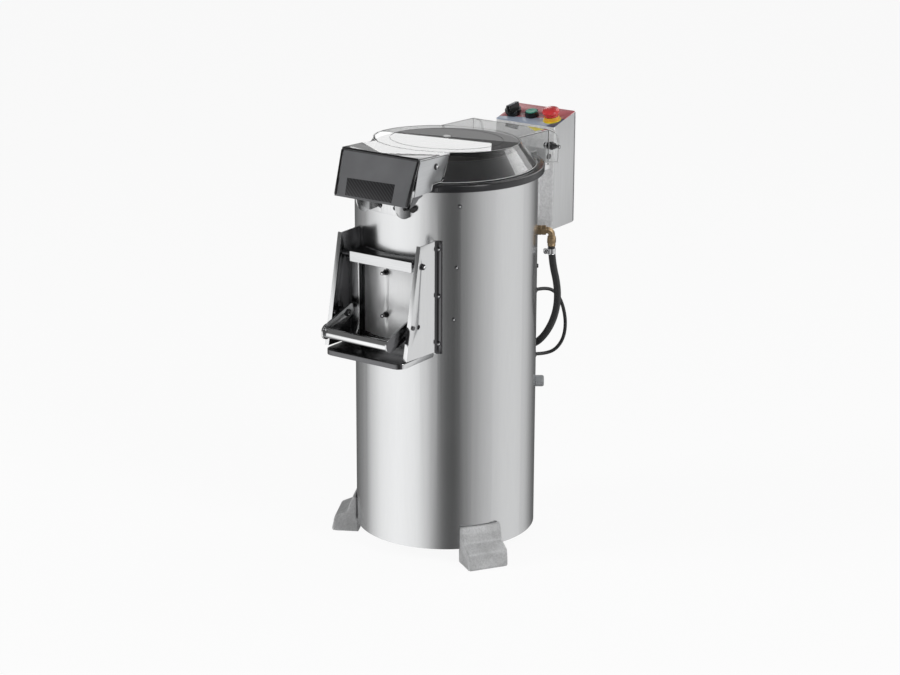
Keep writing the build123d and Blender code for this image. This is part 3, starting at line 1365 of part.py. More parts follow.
# ================================================================= cable, vent and drain
gland_tip = outward(gland_angle) * (drum_radius + gland_reach)
cable_route = (
    (gland_tip.X, gland_tip.Y, gland_heights[0]), (123.6, 197.7, 517), (139.7, 213.0, 506),
    (151.8, 220.1, 478), (158.2, 223.3, 440), (154.9, 221.0, 404), (141.1, 212.8, 378),
    (123.6, 197.6, 369), (gland_tip.X, gland_tip.Y, gland_heights[1]),
)
motor_cable_tube = cord_tube(cable_route, cable_radius, "motor_cable")
with BuildPart() as motor_cable:
    add(motor_cable_tube)
motor_cable.part.label = "motor_cable"
export_step(motor_cable.part, "parts/motor_cable.step")

with BuildPart() as cable_glands:
    for height in gland_heights:
        with Locations(on_drum(gland_angle, height)):
            add(hex_nut(17, 6, gland_bore - 1))
            Cylinder(gland_bore + 2, gland_reach - 2, align=RISING)
            Cylinder(gland_bore, gland_reach, align=RISING)
            Cylinder(gland_bore, drum_wall + 8, align=HANGING)
        with Locations(on_drum(gland_angle, height, drum_inner - 1)):
            Cylinder(gland_bore + 3, 4, align=HANGING)
cable_glands.part.label = "cable_glands"
export_step(cable_glands.part, "parts/cable_glands.step")

with BuildPart() as vent_stub:
    with Locations(on_drum(service_angle, vent_height)):
        Cylinder(vent_radius, vent_reach, align=RISING)
        Cylinder(vent_bore, drum_wall + 6, align=HANGING)
    vent_axis = Axis(origin=(0, 0, 0), direction=outward(service_angle))
    fillet(vent_stub.faces().sort_by(vent_axis)[-1].edges(), 4)
vent_stub.part.label = "vent_stub"
export_step(vent_stub.part, "parts/vent_stub.step")

drain_foot = drain_place + Vector(0, 0, drain_height)
drain_tip = outward(drain_angle) * (drum_radius + drain_reach) + Vector(0, 0, drain_height)
with BuildPart() as drain_outlet:
    with BuildLine():
        FilletPolyline(drain_place + Vector(0, 0, floor_bottom), drain_foot, drain_tip, radius=drain_bend)
    with BuildSketch(Plane(origin=drain_place + Vector(0, 0, floor_bottom), z_dir=(0, 0, -1))):
        Circle(drain_radius)
    sweep()
    with Locations(on_drum(drain_angle, drain_height)):
        Cylinder(drain_radius + 4, drain_flange, align=RISING)
drain_outlet.part.label = "drain_outlet"
export_step(drain_outlet.part, "parts/drain_outlet.step")
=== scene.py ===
"""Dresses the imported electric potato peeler: finishes, fine pieces, studio and camera.

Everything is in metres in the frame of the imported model: +Z up, the drum's axis at the origin,
the discharge door towards -Y and the control box towards +Y.
"""

import json
import logging
import math
from dataclasses import dataclass
from enum import Enum
from typing import Callable, Mapping, Sequence

import bmesh
import bpy
from mathutils import Matrix, Vector

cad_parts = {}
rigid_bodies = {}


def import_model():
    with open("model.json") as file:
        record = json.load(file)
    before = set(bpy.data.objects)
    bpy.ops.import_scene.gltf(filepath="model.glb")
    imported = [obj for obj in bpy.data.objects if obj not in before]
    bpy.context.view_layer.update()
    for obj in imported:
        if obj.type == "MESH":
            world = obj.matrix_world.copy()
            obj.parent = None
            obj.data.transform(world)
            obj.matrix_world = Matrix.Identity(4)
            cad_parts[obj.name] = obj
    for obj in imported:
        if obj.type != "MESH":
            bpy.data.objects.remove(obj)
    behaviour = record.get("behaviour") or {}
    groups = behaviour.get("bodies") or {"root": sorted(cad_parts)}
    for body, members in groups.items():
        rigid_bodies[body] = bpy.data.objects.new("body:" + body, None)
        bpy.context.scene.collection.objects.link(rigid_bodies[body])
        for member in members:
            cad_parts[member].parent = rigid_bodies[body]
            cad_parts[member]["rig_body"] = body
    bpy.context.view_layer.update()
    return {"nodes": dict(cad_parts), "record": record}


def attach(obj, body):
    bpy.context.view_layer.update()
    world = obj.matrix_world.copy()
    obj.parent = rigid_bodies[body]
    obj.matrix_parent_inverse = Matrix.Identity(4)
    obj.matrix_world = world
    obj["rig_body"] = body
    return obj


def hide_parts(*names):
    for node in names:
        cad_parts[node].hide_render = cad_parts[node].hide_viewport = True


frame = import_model()

logging.basicConfig(level=logging.INFO, format="%(message)s")
log = logging.getLogger("peeler")

MM = 0.001
UP = Vector((0, 0, 1))
Colour = tuple[float, float, float]
Pairs = Sequence[tuple[float, float]]
Faces = Callable[[Vector, Vector], bool]
Input = float | Sequence[float] | bpy.types.NodeSocket
SLOTS: dict[str, str] = {row["node"]: row["material_slot"] for row in frame["record"]["subparts"]}


# ---------------------------------------------------------------- tools
def deselect() -> None:
    """Leaves nothing selected, so that the next operator acts only on what is chosen."""
    bpy.ops.object.select_all(action="DESELECT")


def activate(piece: bpy.types.Object) -> bpy.types.Object:
    """Selects one object alone and makes it active.

    Args:
        piece: The object that the next operators act on.

    Returns:
        The same object.
    """
    deselect()
    piece.select_set(True)
    bpy.context.view_layer.objects.active = piece
    return piece


def linked(name: str, data: bpy.types.ID) -> bpy.types.Object:
    """Puts a mesh, a curve, a lamp or a camera into the scene.

    Args:
        name: Name of the object.
        data: What the object holds.

    Returns:
        The object.
    """
    made = bpy.data.objects.new(name, data)
    bpy.context.scene.collection.objects.link(made)
    return made


def named(piece: bpy.types.Object, name: str) -> bpy.types.Object:
    """Gives an object and its mesh one name.

    Args:
        piece: The object to name.
        name: The piece's name.

    Returns:
        The same object.
    """
    piece.name = name
    piece.data.name = name
    return piece


def settle(piece: bpy.types.Object) -> bpy.types.Object:
    """Moves an object's place, turn and size into its mesh, so that the object sits at the origin.

    Args:
        piece: The object to settle.

    Returns:
        The same object.
    """
    activate(piece)
    bpy.ops.object.transform_apply(location=True, rotation=True, scale=True)
    return piece


def apply_modifiers(piece: bpy.types.Object) -> None:
    """Applies every modifier of an object, in order.

    Args:
        piece: The object whose modifiers are applied.
    """
    activate(piece)
    for name in [modifier.name for modifier in piece.modifiers]:
        bpy.ops.object.modifier_apply(modifier=name)


def bevel(piece: bpy.types.Object, width: float, segments: int = 2, angle: float = 30.0) -> None:
    """Rounds an object's sharp edges and applies the rounding.

    Args:
        piece: The object to round.
        width: Width of the rounding, in metres.
        segments: Number of faces across the rounding.
        angle: Edges that turn by more than this many degrees are rounded.
    """
    modifier = piece.modifiers.new("soft edges", "BEVEL")
    modifier.width = width
    modifier.segments = segments
    modifier.limit_method = "ANGLE"
    modifier.angle_limit = math.radians(angle)
    modifier.harden_normals = False
    apply_modifiers(piece)


def smooth(piece: bpy.types.Object, angle: float = 35.0) -> bpy.types.Object:
    """Shades an object smoothly, apart from edges sharper than an angle.

    Args:
        piece: The object to shade.
        angle: Limit in degrees.

    Returns:
        The same object.
    """
    activate(piece)
    bpy.ops.object.shade_smooth_by_angle(angle=math.radians(angle))
    return piece


def edit(piece: bpy.types.Object, *steps: Callable[[], object]) -> None:
    """Runs steps in edit mode, each of them with the whole piece selected.

    Args:
        piece: The piece to edit.
        steps: What is done, in order.
    """
    activate(piece)
    bpy.ops.object.mode_set(mode="EDIT")
    for step in steps:
        bpy.ops.mesh.select_all(action="SELECT")
        step()
    bpy.ops.object.mode_set(mode="OBJECT")


def pick_faces(piece: bpy.types.Object, wanted: Faces) -> None:
    """Selects faces in edit mode by their centre and normal, and nothing else.

    Args:
        piece: The active object, in edit mode.
        wanted: Test of a face's centre and normal.
    """
    mesh = bmesh.from_edit_mesh(piece.data)
    for part in (mesh.verts, mesh.edges, mesh.faces):
        for element in part:
            element.select = False
    for face in mesh.faces:
        if wanted(face.calc_center_median(), face.normal):
            face.select_set(True)
    mesh.select_flush_mode()
    bmesh.update_edit_mesh(piece.data)


def along(axis: Vector, place: Vector) -> Matrix:
    """Matrix that turns +Z to an axis and moves the origin to a place.

    Args:
        axis: Direction that +Z becomes.
        place: Point that the origin becomes.

    Returns:
        The matrix.
    """
    turn = axis.to_track_quat("Z", "Y").to_matrix().to_4x4()
    return Matrix.Translation(place) @ turn


def outward(degrees: float) -> Vector:
    """Direction away from the drum's axis, at an angle from the front, positive to the right."""
    return Vector((math.sin(math.radians(degrees)), -math.cos(math.radians(degrees)), 0))


def join(pieces: Sequence[bpy.types.Object], name: str) -> bpy.types.Object:
    """Joins objects into the first one.

    Args:
        pieces: The objects to join.
        name: Name of the joined piece.

    Returns:
        The joined object.
    """
    activate(pieces[0])
    for piece in pieces:
        piece.select_set(True)
    bpy.ops.object.join()
    return named(bpy.context.view_layer.objects.active, name)


def copy_of(node: str, name: str) -> bpy.types.Object:
    """A merged copy of a CAD node, ready to be finished as a piece of its own.

    Args:
        node: Name of the CAD node.
        name: Name of the new piece.

    Returns:
        The copy, with its loose triangles welded and its flat areas cleaned.
    """
    mesh = frame["nodes"][node].data.copy()
    mesh.materials.clear()
    piece = named(linked(name, mesh), name)
    edit(piece,
         lambda: bpy.ops.mesh.remove_doubles(threshold=0.02 * MM),
         bpy.ops.mesh.customdata_custom_splitnormals_clear,
         lambda: bpy.ops.mesh.dissolve_limited(angle_limit=math.radians(0.4)))
    return piece


def lathe(name: str, profile: Pairs, axis: Vector, place: Vector, steps: int = 48) -> bpy.types.Object:
    """A turned piece: a profile spun about an axis.

    Args:
        name: Name of the piece.
        profile: Radius and height of each point, in millimetres, from one end to the other.
        axis: Direction of the turning axis.
        place: Point where the profile's height is zero, in metres.
        steps: Number of faces round the piece.

    Returns:
        The piece.
    """
    mesh = bpy.data.meshes.new(name)
    points = [(radius * MM, 0, height * MM) for radius, height in profile]
    mesh.from_pydata(points, [(index, index + 1) for index in range(len(points) - 1)], [])
    piece = linked(name, mesh)
    edit(piece,
         lambda: bpy.ops.mesh.spin(steps=steps, angle=math.tau, center=(0, 0, 0), axis=(0, 0, 1)),
         lambda: bpy.ops.mesh.remove_doubles(threshold=0.01 * MM),
         lambda: bpy.ops.mesh.normals_make_consistent(inside=False))
    piece.matrix_world = along(axis, place)
    return smooth(settle(piece))


def prism(name: str, outline: Sequence[Vector], depth: Vector, rounding: float) -> bpy.types.Object:
    """A flat plate: an outline pushed along a direction, with its edges rounded.

    Args:
        name: Name of the piece.
        outline: Corners of the plate in order, in metres.
        depth: Direction and thickness of the plate, in metres.
        rounding: Width of the edges' rounding, in metres.

    Returns:
        The piece.
    """
    mesh = bpy.data.meshes.new(name)
    mesh.from_pydata([tuple(corner) for corner in outline], [], [tuple(range(len(outline)))])
    piece = linked(name, mesh)
    edit(piece,
         lambda: bpy.ops.mesh.extrude_region_move(TRANSFORM_OT_translate={"value": tuple(depth)}),
         lambda: bpy.ops.mesh.normals_make_consistent(inside=False))
    bevel(piece, rounding)
    return smooth(piece)


def hexagon(name: str, flats: float, height: float, axis: Vector, place: Vector, turn: float) -> bpy.types.Object:
    """A hexagon nut or head with a domed, chamfered top.

    Args:
        name: Name of the piece.
        flats: Width across its flats, in millimetres.
        height: Height, in millimetres.
        axis: Direction that its top faces.
        place: Centre of its seat, in metres.
        turn: Turn about the axis, in degrees.

    Returns:
        The piece.
    """
    deselect()
    bpy.ops.mesh.primitive_cylinder_add(vertices=6, radius=flats / math.sqrt(3) * MM, depth=height * MM)
    piece = named(bpy.context.active_object, name)

    def dome() -> None:
        """Narrows the top face and lifts it."""
        pick_faces(piece, lambda centre, normal: normal.z > 0.9)
        bpy.ops.mesh.inset(thickness=0.12 * flats * MM, depth=0.0)
        bpy.ops.transform.translate(value=(0, 0, 0.06 * flats * MM))

    edit(piece, dome)
    piece.matrix_world = (along(axis, place) @ Matrix.Rotation(math.radians(turn), 4, "Z")
                          @ Matrix.Translation((0, 0, height * MM / 2)))
    settle(piece)
    bevel(piece, 0.35 * MM)
    return smooth(piece, 30)


def rod(name: str, path: Sequence[Vector], radius: float, bend: float = 0.0) -> bpy.types.Object:
    """A thin round rod along a path.

    Args:
        name: Name of the piece.
        path: Its corners in order, in metres.
        radius: Its radius, in millimetres.
        bend: How far from a corner its bend starts, in millimetres.

    Returns:
        The piece.
    """
    points = [path[0]]
    for before, corner, after in zip(path, path[1:], path[2:]):
        start = corner + (before - corner).normalized() * bend * MM
        end = corner + (after - corner).normalized() * bend * MM
        for step in range(6):
            share = step / 5
            points.append(start.lerp(corner, share).lerp(corner.lerp(end, share), share))
    points.append(path[-1])
    curve = bpy.data.curves.new(name, "CURVE")
    curve.dimensions = "3D"
    curve.bevel_depth = radius * MM
    curve.bevel_resolution = 2
    curve.use_fill_caps = True
    spline = curve.splines.new("POLY")
    spline.points.add(len(points) - 1)
    for place, point in zip(spline.points, points):
        place.co = (*point, 1.0)
    activate(linked(name, curve))
    bpy.ops.object.convert(target="MESH")
    return smooth(named(bpy.context.view_layer.objects.active, name), 60)


def finish_piece(piece: bpy.types.Object, body: str, slot: str, finish: str, *nodes: str) -> bpy.types.Object:
    """Gives a piece its finish, its body and the CAD nodes that it stands for.

    Args:
        piece: The piece.
        body: CAD body that it rides on.
        slot: Material slot of the record; not used.
        finish: Name of its finish, which a piece with finishes of its own doesn't take.
        nodes: CAD nodes that the piece replaces.

    Returns:
        The same object.
    """
    if not piece.data.materials:
        piece.data.materials.append(MATERIALS[finish])
    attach(piece, body)
    if nodes:
        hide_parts(*nodes)
    log.info("piece %s on %s", piece.name, body)
    return piece


# ---------------------------------------------------------------- node trees
class Tree:
    """A node tree under construction."""

    def __init__(self, tree: bpy.types.NodeTree) -> None:
        """Takes the tree that nodes are added to.

        Args:
            tree: The tree.
        """
        self.tree = tree

    def put(self, socket: bpy.types.NodeSocket, value: Input) -> None:
        """Links an input to an output, or sets its value.

        Args:
            socket: The input.
            value: An output, a number, a vector, or a colour with or without its alpha.
        """
        if isinstance(value, bpy.types.NodeSocket):
            self.tree.links.new(value, socket)
        elif socket.type == "RGBA" and len(value) == 3:
            socket.default_value = (*value, 1)
        else:
            socket.default_value = value

    def node(self, kind: str, inputs: Mapping[str | int, Input] | None = None,
             **settings: object) -> bpy.types.Node:
        """Adds a node.

        Args:
            kind: Type of the node, without the word ShaderNode.
            inputs: What each input gets, by its name or number.
            settings: Properties of the node by name.

        Returns:
            The node.
        """
        made = self.tree.nodes.new("ShaderNode" + kind)
        for key, value in settings.items():
            setattr(made, key, value)
        for key, value in (inputs or {}).items():
            self.put(made.inputs[key], value)
        return made

    def math(self, operation: str, *values: Input, clamp: bool = False) -> bpy.types.NodeSocket:
        """A calculation.

        Args:
            operation: What is done.
            values: One to three numbers or outputs.
            clamp: Whether the result is kept from 0 to 1.

        Returns:
            The result.
        """
        return self.node("Math", dict(enumerate(values)), operation=operation, use_clamp=clamp).outputs["Value"]

    def remap(self, value: Input, low: float = 0.0, high: float = 1.0, start: float = 0.0,
              end: float = 1.0) -> bpy.types.NodeSocket:
        """Maps one range onto another, without going past it.

        Args:
            value: What is mapped.
            low: Result at the start.
            high: Result at the end.
            start: Where the range starts.
            end: Where the range ends.

        Returns:
            The result.
        """
        return self.node("MapRange", {"Value": value, "From Min": start, "From Max": end, "To Min": low,
                                      "To Max": high}).outputs["Result"]

    def ramp(self, factor: Input, stops: Sequence[tuple[float, Colour]],
             interpolation: str = "LINEAR") -> bpy.types.NodeSocket:
        """A colour ramp.

        Args:
            factor: What the ramp reads.
            stops: Positions and colours.
            interpolation: How colours change between the stops.

        Returns:
            The colour.
        """
        made = self.node("ValToRGB", {"Fac": factor})
        made.color_ramp.interpolation = interpolation
        elements = made.color_ramp.elements
        while len(elements) < len(stops):
            elements.new(0.5)
        for element, (position, colour) in zip(elements, stops):
            element.position = position
            element.color = (*colour, 1)
        return made.outputs["Color"]

    def mix(self, factor: Input, first: Input, second: Input, blend: str = "MIX") -> bpy.types.NodeSocket:
        """Mixes two colours.

        Args:
            factor: The mask.
            first: Colour at 0.
            second: Colour at 1.
            blend: Blend mode.

        Returns:
            The mixed colour.
        """
        made = self.node("Mix", {0: factor}, data_type="RGBA", blend_type=blend)
        colours = [socket for socket in made.inputs if socket.type == "RGBA"]
        self.put(colours[0], first)
        self.put(colours[1], second)
        return next(socket for socket in made.outputs if socket.type == "RGBA")

    def noise(self, vector: Input, scale: Input, detail: float = 3.0,
              roughness: float = 0.5) -> bpy.types.NodeSocket:
        """A noise from 0 to 1.

        Args:
            vector: Coordinates.
            scale: Scale of the noise.
            detail: Number of octaves.
            roughness: Weight of the finer octaves.

        Returns:
            The noise.
        """
        return self.node("TexNoise", {"Vector": vector, "Scale": scale, "Detail": detail,
                                      "Roughness": roughness}).outputs["Fac"]


class Shader(Tree):
    """A material under construction, around one Principled shader."""

    def __init__(self, name: str) -> None:
        """Starts an empty material.

        Args:
            name: Name of the material.
        """
        self.material = bpy.data.materials.new(name)
        self.material.use_nodes = True
        super().__init__(self.material.node_tree)
        self.principled = self.tree.nodes["Principled BSDF"]
        self._coordinates: bpy.types.NodeSocket | None = None

    def feed(self, **values: Input) -> None:
        """Links or sets the Principled shader's own inputs.

        Args:
            values: What each input gets, by its name with underscores for spaces.
        """
        for key, value in values.items():
            self.put(self.principled.inputs[key.replace("_", " ")], value)

    def place(self, scale: Sequence[float] = (1, 1, 1), turn: Sequence[float] = (0, 0, 0)) -> bpy.types.NodeSocket:
        """Object coordinates, scaled and turned.

        Args:
            scale: Scale along the three axes.
            turn: Turn about the three axes, in degrees.

        Returns:
            The mapped coordinates.
        """
        if self._coordinates is None:
            self._coordinates = self.node("TexCoord").outputs["Object"]
        mapping = self.node("Mapping", {"Vector": self._coordinates, "Scale": scale,
                                        "Rotation": [math.radians(value) for value in turn]})
        return mapping.outputs["Vector"]

    def group(self, tree: bpy.types.NodeTree, **values: Input) -> bpy.types.bpy_prop_collection:
        """Places a node group with its own values.

        Args:
            tree: The group.
            values: What each input gets, by its name with underscores for spaces.

        Returns:
            The group's outputs.
        """
        inputs = {key.replace("_", " "): value for key, value in values.items()}
        return self.node("Group", inputs, node_tree=tree).outputs

    def bump(self, height: Input, strength: float, distance: float,
             normal: bpy.types.NodeSocket | None = None) -> None:
        """Turns a height into a normal and feeds the shader with it.

        Args:
            height: The height.
            strength: Strength of the effect.
            distance: Height of the relief, in metres.
            normal: A normal that the relief is added to.
        """
        inputs: dict[str, Input] = {"Height": height, "Strength": strength, "Distance": distance}
        if normal is not None:
            inputs["Normal"] = normal
        self.feed(Normal=self.node("Bump", inputs).outputs["Normal"])


def new_group(name: str, inputs: Sequence[tuple[str, str, float | None]],
              outputs: Sequence[tuple[str, str]]) -> tuple[Tree, bpy.types.Node, bpy.types.Node]:
    """Starts a shader node group.

    Args:
        name: Name of the group.
        inputs: Name, socket type and default value of each input.
        outputs: Name and socket type of each output.

    Returns:
        The tree, its input node and its output node.
    """
    tree = bpy.data.node_groups.new(name, "ShaderNodeTree")
    for label, kind, default in inputs:
        socket = tree.interface.new_socket(name=label, in_out="INPUT", socket_type=kind)
        if default is not None:
            socket.default_value = default
    for label, kind in outputs:
        tree.interface.new_socket(name=label, in_out="OUTPUT", socket_type=kind)
    return Tree(tree), tree.nodes.new("NodeGroupInput"), tree.nodes.new("NodeGroupOutput")


def make_grain_group() -> bpy.types.NodeTree:
    """Fine lines of a brushed sheet, with slow patches under them.

    Returns:
        A group that reads stretched coordinates and gives a streak mask and a patch mask.
    """
    tree, start, end = new_group(
        "brushed_grain",
        [("Vector", "NodeSocketVector", None), ("Patch Vector", "NodeSocketVector", None),
         ("Lines", "NodeSocketFloat", 400.0), ("Patches", "NodeSocketFloat", 6.0)],
        [("Streaks", "NodeSocketFloat"), ("Patches", "NodeSocketFloat")],
    )
    given = start.outputs
    tree.put(end.inputs["Streaks"], tree.noise(given["Vector"], given["Lines"], 4.0, 0.7))
    tree.put(end.inputs["Patches"], tree.noise(given["Patch Vector"], given["Patches"]))
    return tree.tree


def make_edge_group() -> bpy.types.NodeTree:
    """Rounded edges: a softened normal, and an edge mask that the finishes use for worn metal edges and for painted
    edge highlights.

    Returns:
        A group with the radius of the rounding and the strength of the worn edges and painted highlights as its
        inputs.
    """
    tree, start, end = new_group(
        "edge_wear_and_highlight",
        [("Radius", "NodeSocketFloat", 0.0006), ("Wear", "NodeSocketFloat", 8.0)],
        [("Normal", "NodeSocketVector"), ("Mask", "NodeSocketFloat")],
    )
    rounded = tree.node("Bevel", {"Radius": start.outputs["Radius"]}, samples=4).outputs["Normal"]
    sharp = tree.node("NewGeometry").outputs["Normal"]
    alike = tree.node("VectorMath", {0: rounded, 1: sharp}, operation="DOT_PRODUCT").outputs["Value"]
    mask = tree.math("MULTIPLY", tree.math("SUBTRACT", 1.0, alike), start.outputs["Wear"], clamp=True)
    tree.put(end.inputs["Normal"], rounded)
    tree.put(end.inputs["Mask"], mask)
    return tree.tree


GRAIN = make_grain_group()
EDGES = make_edge_group()


# ---------------------------------------------------------------- finishes
def tint(colour: Colour, gain: float, lift: float = 0.0) -> Colour:
    """A colour made brighter or darker, and kept below full white."""
    red, green, blue = (min(1.0, value * gain + lift) for value in colour)
    return red, green, blue


class Grain(Enum):
    """Direction of a brushed sheet's lines, as the scale of the coordinates along X, Y and Z."""

    UPRIGHT = (1.0, 1.0, 0.012)
    CROSS = (0.012, 1.0, 1.0)
    DEEP = (1.0, 0.012, 1.0)


@dataclass(frozen=True)
class Finish:
    """A finish that has a material of its own."""

    name: str

    def build(self) -> bpy.types.Material:
        """Builds the material.

        Returns:
            The material.
        """
        shader = Shader(self.name)
        self.paint(shader)
        return shader.material

    def paint(self, shader: Shader) -> None:
        """Fills the material in, as each kind of finish does.

        Args:
            shader: The empty material.
        """
        raise NotImplementedError


@dataclass(frozen=True)
class BrushedSteel(Finish):
    """Brushed stainless sheet: fine lines one way, faint patches and a painted highlight on the edges."""

    colour: Colour = (0.60, 0.605, 0.61)
    roughness: tuple[float, float] = (0.24, 0.36)
    grain: Grain = Grain.UPRIGHT
    lines: float = 900.0
    relief: float = 0.12
    streak: float = 0.07
    metallic: float = 1.0
    patches: float = 7.0
    edge: float = 0.5 * MM
    wear_and_highlight: float = 6.0

    def paint(self, shader: Shader) -> None:
        """Fills the material in.

        Args:
            shader: The empty material.
        """
        grain = shader.group(GRAIN, Vector=shader.place(self.grain.value), Patch_Vector=shader.place(),
                             Lines=self.lines, Patches=self.patches)
        edges = shader.group(EDGES, Radius=self.edge, Wear=self.wear_and_highlight)
        base = shader.ramp(grain["Streaks"], [(0.3, tint(self.colour, 1 - self.streak)),
                                              (0.7, tint(self.colour, 1 + self.streak))])
        # The edges are mixed towards a lighter tint of the steel: a painted highlight.
        shader.feed(Metallic=self.metallic, Base_Color=shader.mix(edges["Mask"], base, tint(self.colour, 1.25)),
                    Roughness=shader.remap(grain["Patches"], *self.roughness))
        shader.bump(grain["Streaks"], self.relief, 0.02 * MM, edges["Normal"])


@dataclass(frozen=True)
class Metal(Finish):
    """Plain machined or coated metal with slight mottling and worn edges."""

    colour: Colour
    roughness: tuple[float, float] = (0.25, 0.4)
    metallic: float = 1.0
    worn: Colour = (0.75, 0.75, 0.76)
    mottling: float = 180.0
    relief: float = 0.06
    edge: float = 0.3 * MM
    wear_and_highlight: float = 3.0

    def paint(self, shader: Shader) -> None:
        """Fills the material in.

        Args:
            shader: The empty material.
        """
        mottle = shader.noise(shader.place(), self.mottling, 4.0, 0.6)
        edges = shader.group(EDGES, Radius=self.edge, Wear=self.wear_and_highlight)
        base = shader.ramp(mottle, [(0.35, tint(self.colour, 0.82)), (0.65, self.colour)])
        shader.feed(Metallic=self.metallic, Base_Color=shader.mix(edges["Mask"], base, self.worn),
                    Roughness=shader.remap(mottle, *self.roughness))
        shader.bump(mottle, self.relief, 0.05 * MM, edges["Normal"])


@dataclass(frozen=True)
class Casting(Finish):
    """Sand casting or grit: a coarse skin, pits and a dull sheen."""

    colour: Colour = (0.50, 0.505, 0.51)
    roughness: tuple[float, float] = (0.5, 0.75)
    metallic: float = 0.75
    pits: float = 260.0
    stains: float = 28.0
    relief: float = 0.35
    edge: float = 1.2 * MM
    wear_and_highlight: float = 2.0

    def paint(self, shader: Shader) -> None:
        """Fills the material in.

        Args:
            shader: The empty material.
        """
        grit = shader.noise(shader.place(), self.pits, 5.0, 0.65)
        cloud = shader.noise(shader.place(), self.stains, 4.0, 0.55)
        skin = shader.ramp(grit, [(0.32, tint(self.colour, 0.76)), (0.62, self.colour)])
        stain = shader.ramp(cloud, [(0.3, (0.72, 0.72, 0.72)), (0.7, (1.0, 1.0, 1.0))])
        shader.feed(Metallic=self.metallic, Base_Color=shader.mix(1.0, skin, stain, "MULTIPLY"),
                    Roughness=shader.remap(grit, *self.roughness))
        edges = shader.group(EDGES, Radius=self.edge, Wear=self.wear_and_highlight)
        shader.bump(grit, self.relief, 0.5 * MM, edges["Normal"])


@dataclass(frozen=True)
class Plastic(Finish):
    """Moulded plastic or rubber: even colour, fine texture, soft edges with a painted highlight."""

    colour: Colour
    roughness: tuple[float, float] = (0.3, 0.42)
    texture: float = 700.0
    relief: float = 0.05
    coat: float = 0.0
    specular: float = 0.5
    clouds: float = 14.0
    edge: float = 0.4 * MM
    wear_and_highlight: float = 1.5

    def paint(self, shader: Shader) -> None:
        """Fills the material in.

        Args:
            shader: The empty material.
        """
        cloud = shader.noise(shader.place(), self.clouds)
        edges = shader.group(EDGES, Radius=self.edge, Wear=self.wear_and_highlight)
        base = shader.ramp(cloud, [(0.35, self.colour), (0.75, tint(self.colour, 1.25, 0.01))])
        # The edges are mixed towards a lighter tint: a painted highlight.
        shader.feed(Coat_Weight=self.coat, Coat_Roughness=0.08, Specular_IOR_Level=self.specular,
                    Base_Color=shader.mix(edges["Mask"], base, tint(self.colour, 1.6, 0.02)),
                    Roughness=shader.remap(cloud, *self.roughness))
        fine = shader.noise(shader.place(), self.texture, 2.0)
        shader.bump(fine, self.relief, 0.1 * MM, edges["Normal"])


@dataclass(frozen=True)
class ClearPlastic(Finish):
    """Clear sheet with a faint haze."""

    colour: Colour = (0.985, 0.99, 0.99)
    haze: Colour = (0.995, 0.998, 0.998)
    roughness: tuple[float, float] = (0.0, 0.015)
    refraction: float = 1.49

    def paint(self, shader: Shader) -> None:
        """Fills the material in.

        Args:
            shader: The empty material.
        """
        cloud = shader.noise(shader.place(), 9.0, 4.0)
        shader.feed(Transmission_Weight=1.0, IOR=self.refraction,
                    Base_Color=shader.ramp(cloud, [(0.3, self.colour), (0.7, self.haze)]),
                    Roughness=shader.remap(cloud, *self.roughness))


@dataclass(frozen=True)
class ConsoleFilm(Finish):
    """The console's film: a rear field, a front field and a dim front corner."""

    front: Colour = (0.46, 0.53, 0.66)
    rear: Colour = (0.62, 0.16, 0.18)
    corner: Colour = (0.10, 0.13, 0.20)
    start: float = 0.3225
    tilt: float = 0.181
    corner_start: float = -0.050
    corner_tilt: float = 0.35

    def paint(self, shader: Shader) -> None:
        """Fills the material in.

        Args:
            shader: The empty material.
        """
        place = shader.place()
        parts = shader.node("SeparateXYZ", {"Vector": place}).outputs
        border = shader.math("MULTIPLY_ADD", parts["X"], -self.tilt, parts["Y"])
        field = shader.remap(border, start=self.start, end=self.start + 0.6 * MM)
        edge = shader.math("MULTIPLY_ADD", parts["Y"], -self.corner_tilt, parts["X"])
        lit = shader.remap(edge, start=self.corner_start, end=self.corner_start + 3 * MM)
        cloud = shader.noise(place, 16.0)
        front = shader.ramp(cloud, [(0.35, self.front), (0.7, tint(self.front, 1.1))])
        rear = shader.ramp(cloud, [(0.35, self.rear), (0.7, tint(self.rear, 1.12))])
        shader.feed(Base_Color=shader.mix(field, shader.mix(lit, front, self.corner), rear),
                    Roughness=shader.remap(cloud, 0.3, 0.42))
        shader.bump(shader.noise(place, 1200.0, 2.0), 0.05, 0.05 * MM)


@dataclass(frozen=True)
class LinedPatch(Finish):
    """A dark film with fine slanting lines."""

    ground: Colour = (0.014, 0.014, 0.015)
    lines: Colour = (0.042, 0.042, 0.045)
    pitch: float = 5.2 * MM
    band: float = 0.314
    slant: float = 52.0

    def paint(self, shader: Shader) -> None:
        """Fills the material in.

        Args:
            shader: The empty material.
        """
        wave = shader.node("TexWave", {"Vector": shader.place(turn=(0, self.slant, 0)), "Distortion": 0.0,
                                       "Scale": self.band / self.pitch},
                           wave_type="BANDS", bands_direction="X", wave_profile="SIN").outputs["Fac"]
        shader.feed(Base_Color=shader.ramp(wave, [(0.35, self.ground), (0.75, self.lines)]),
                    Roughness=shader.remap(shader.noise(shader.place(), 40.0), 0.35, 0.5))


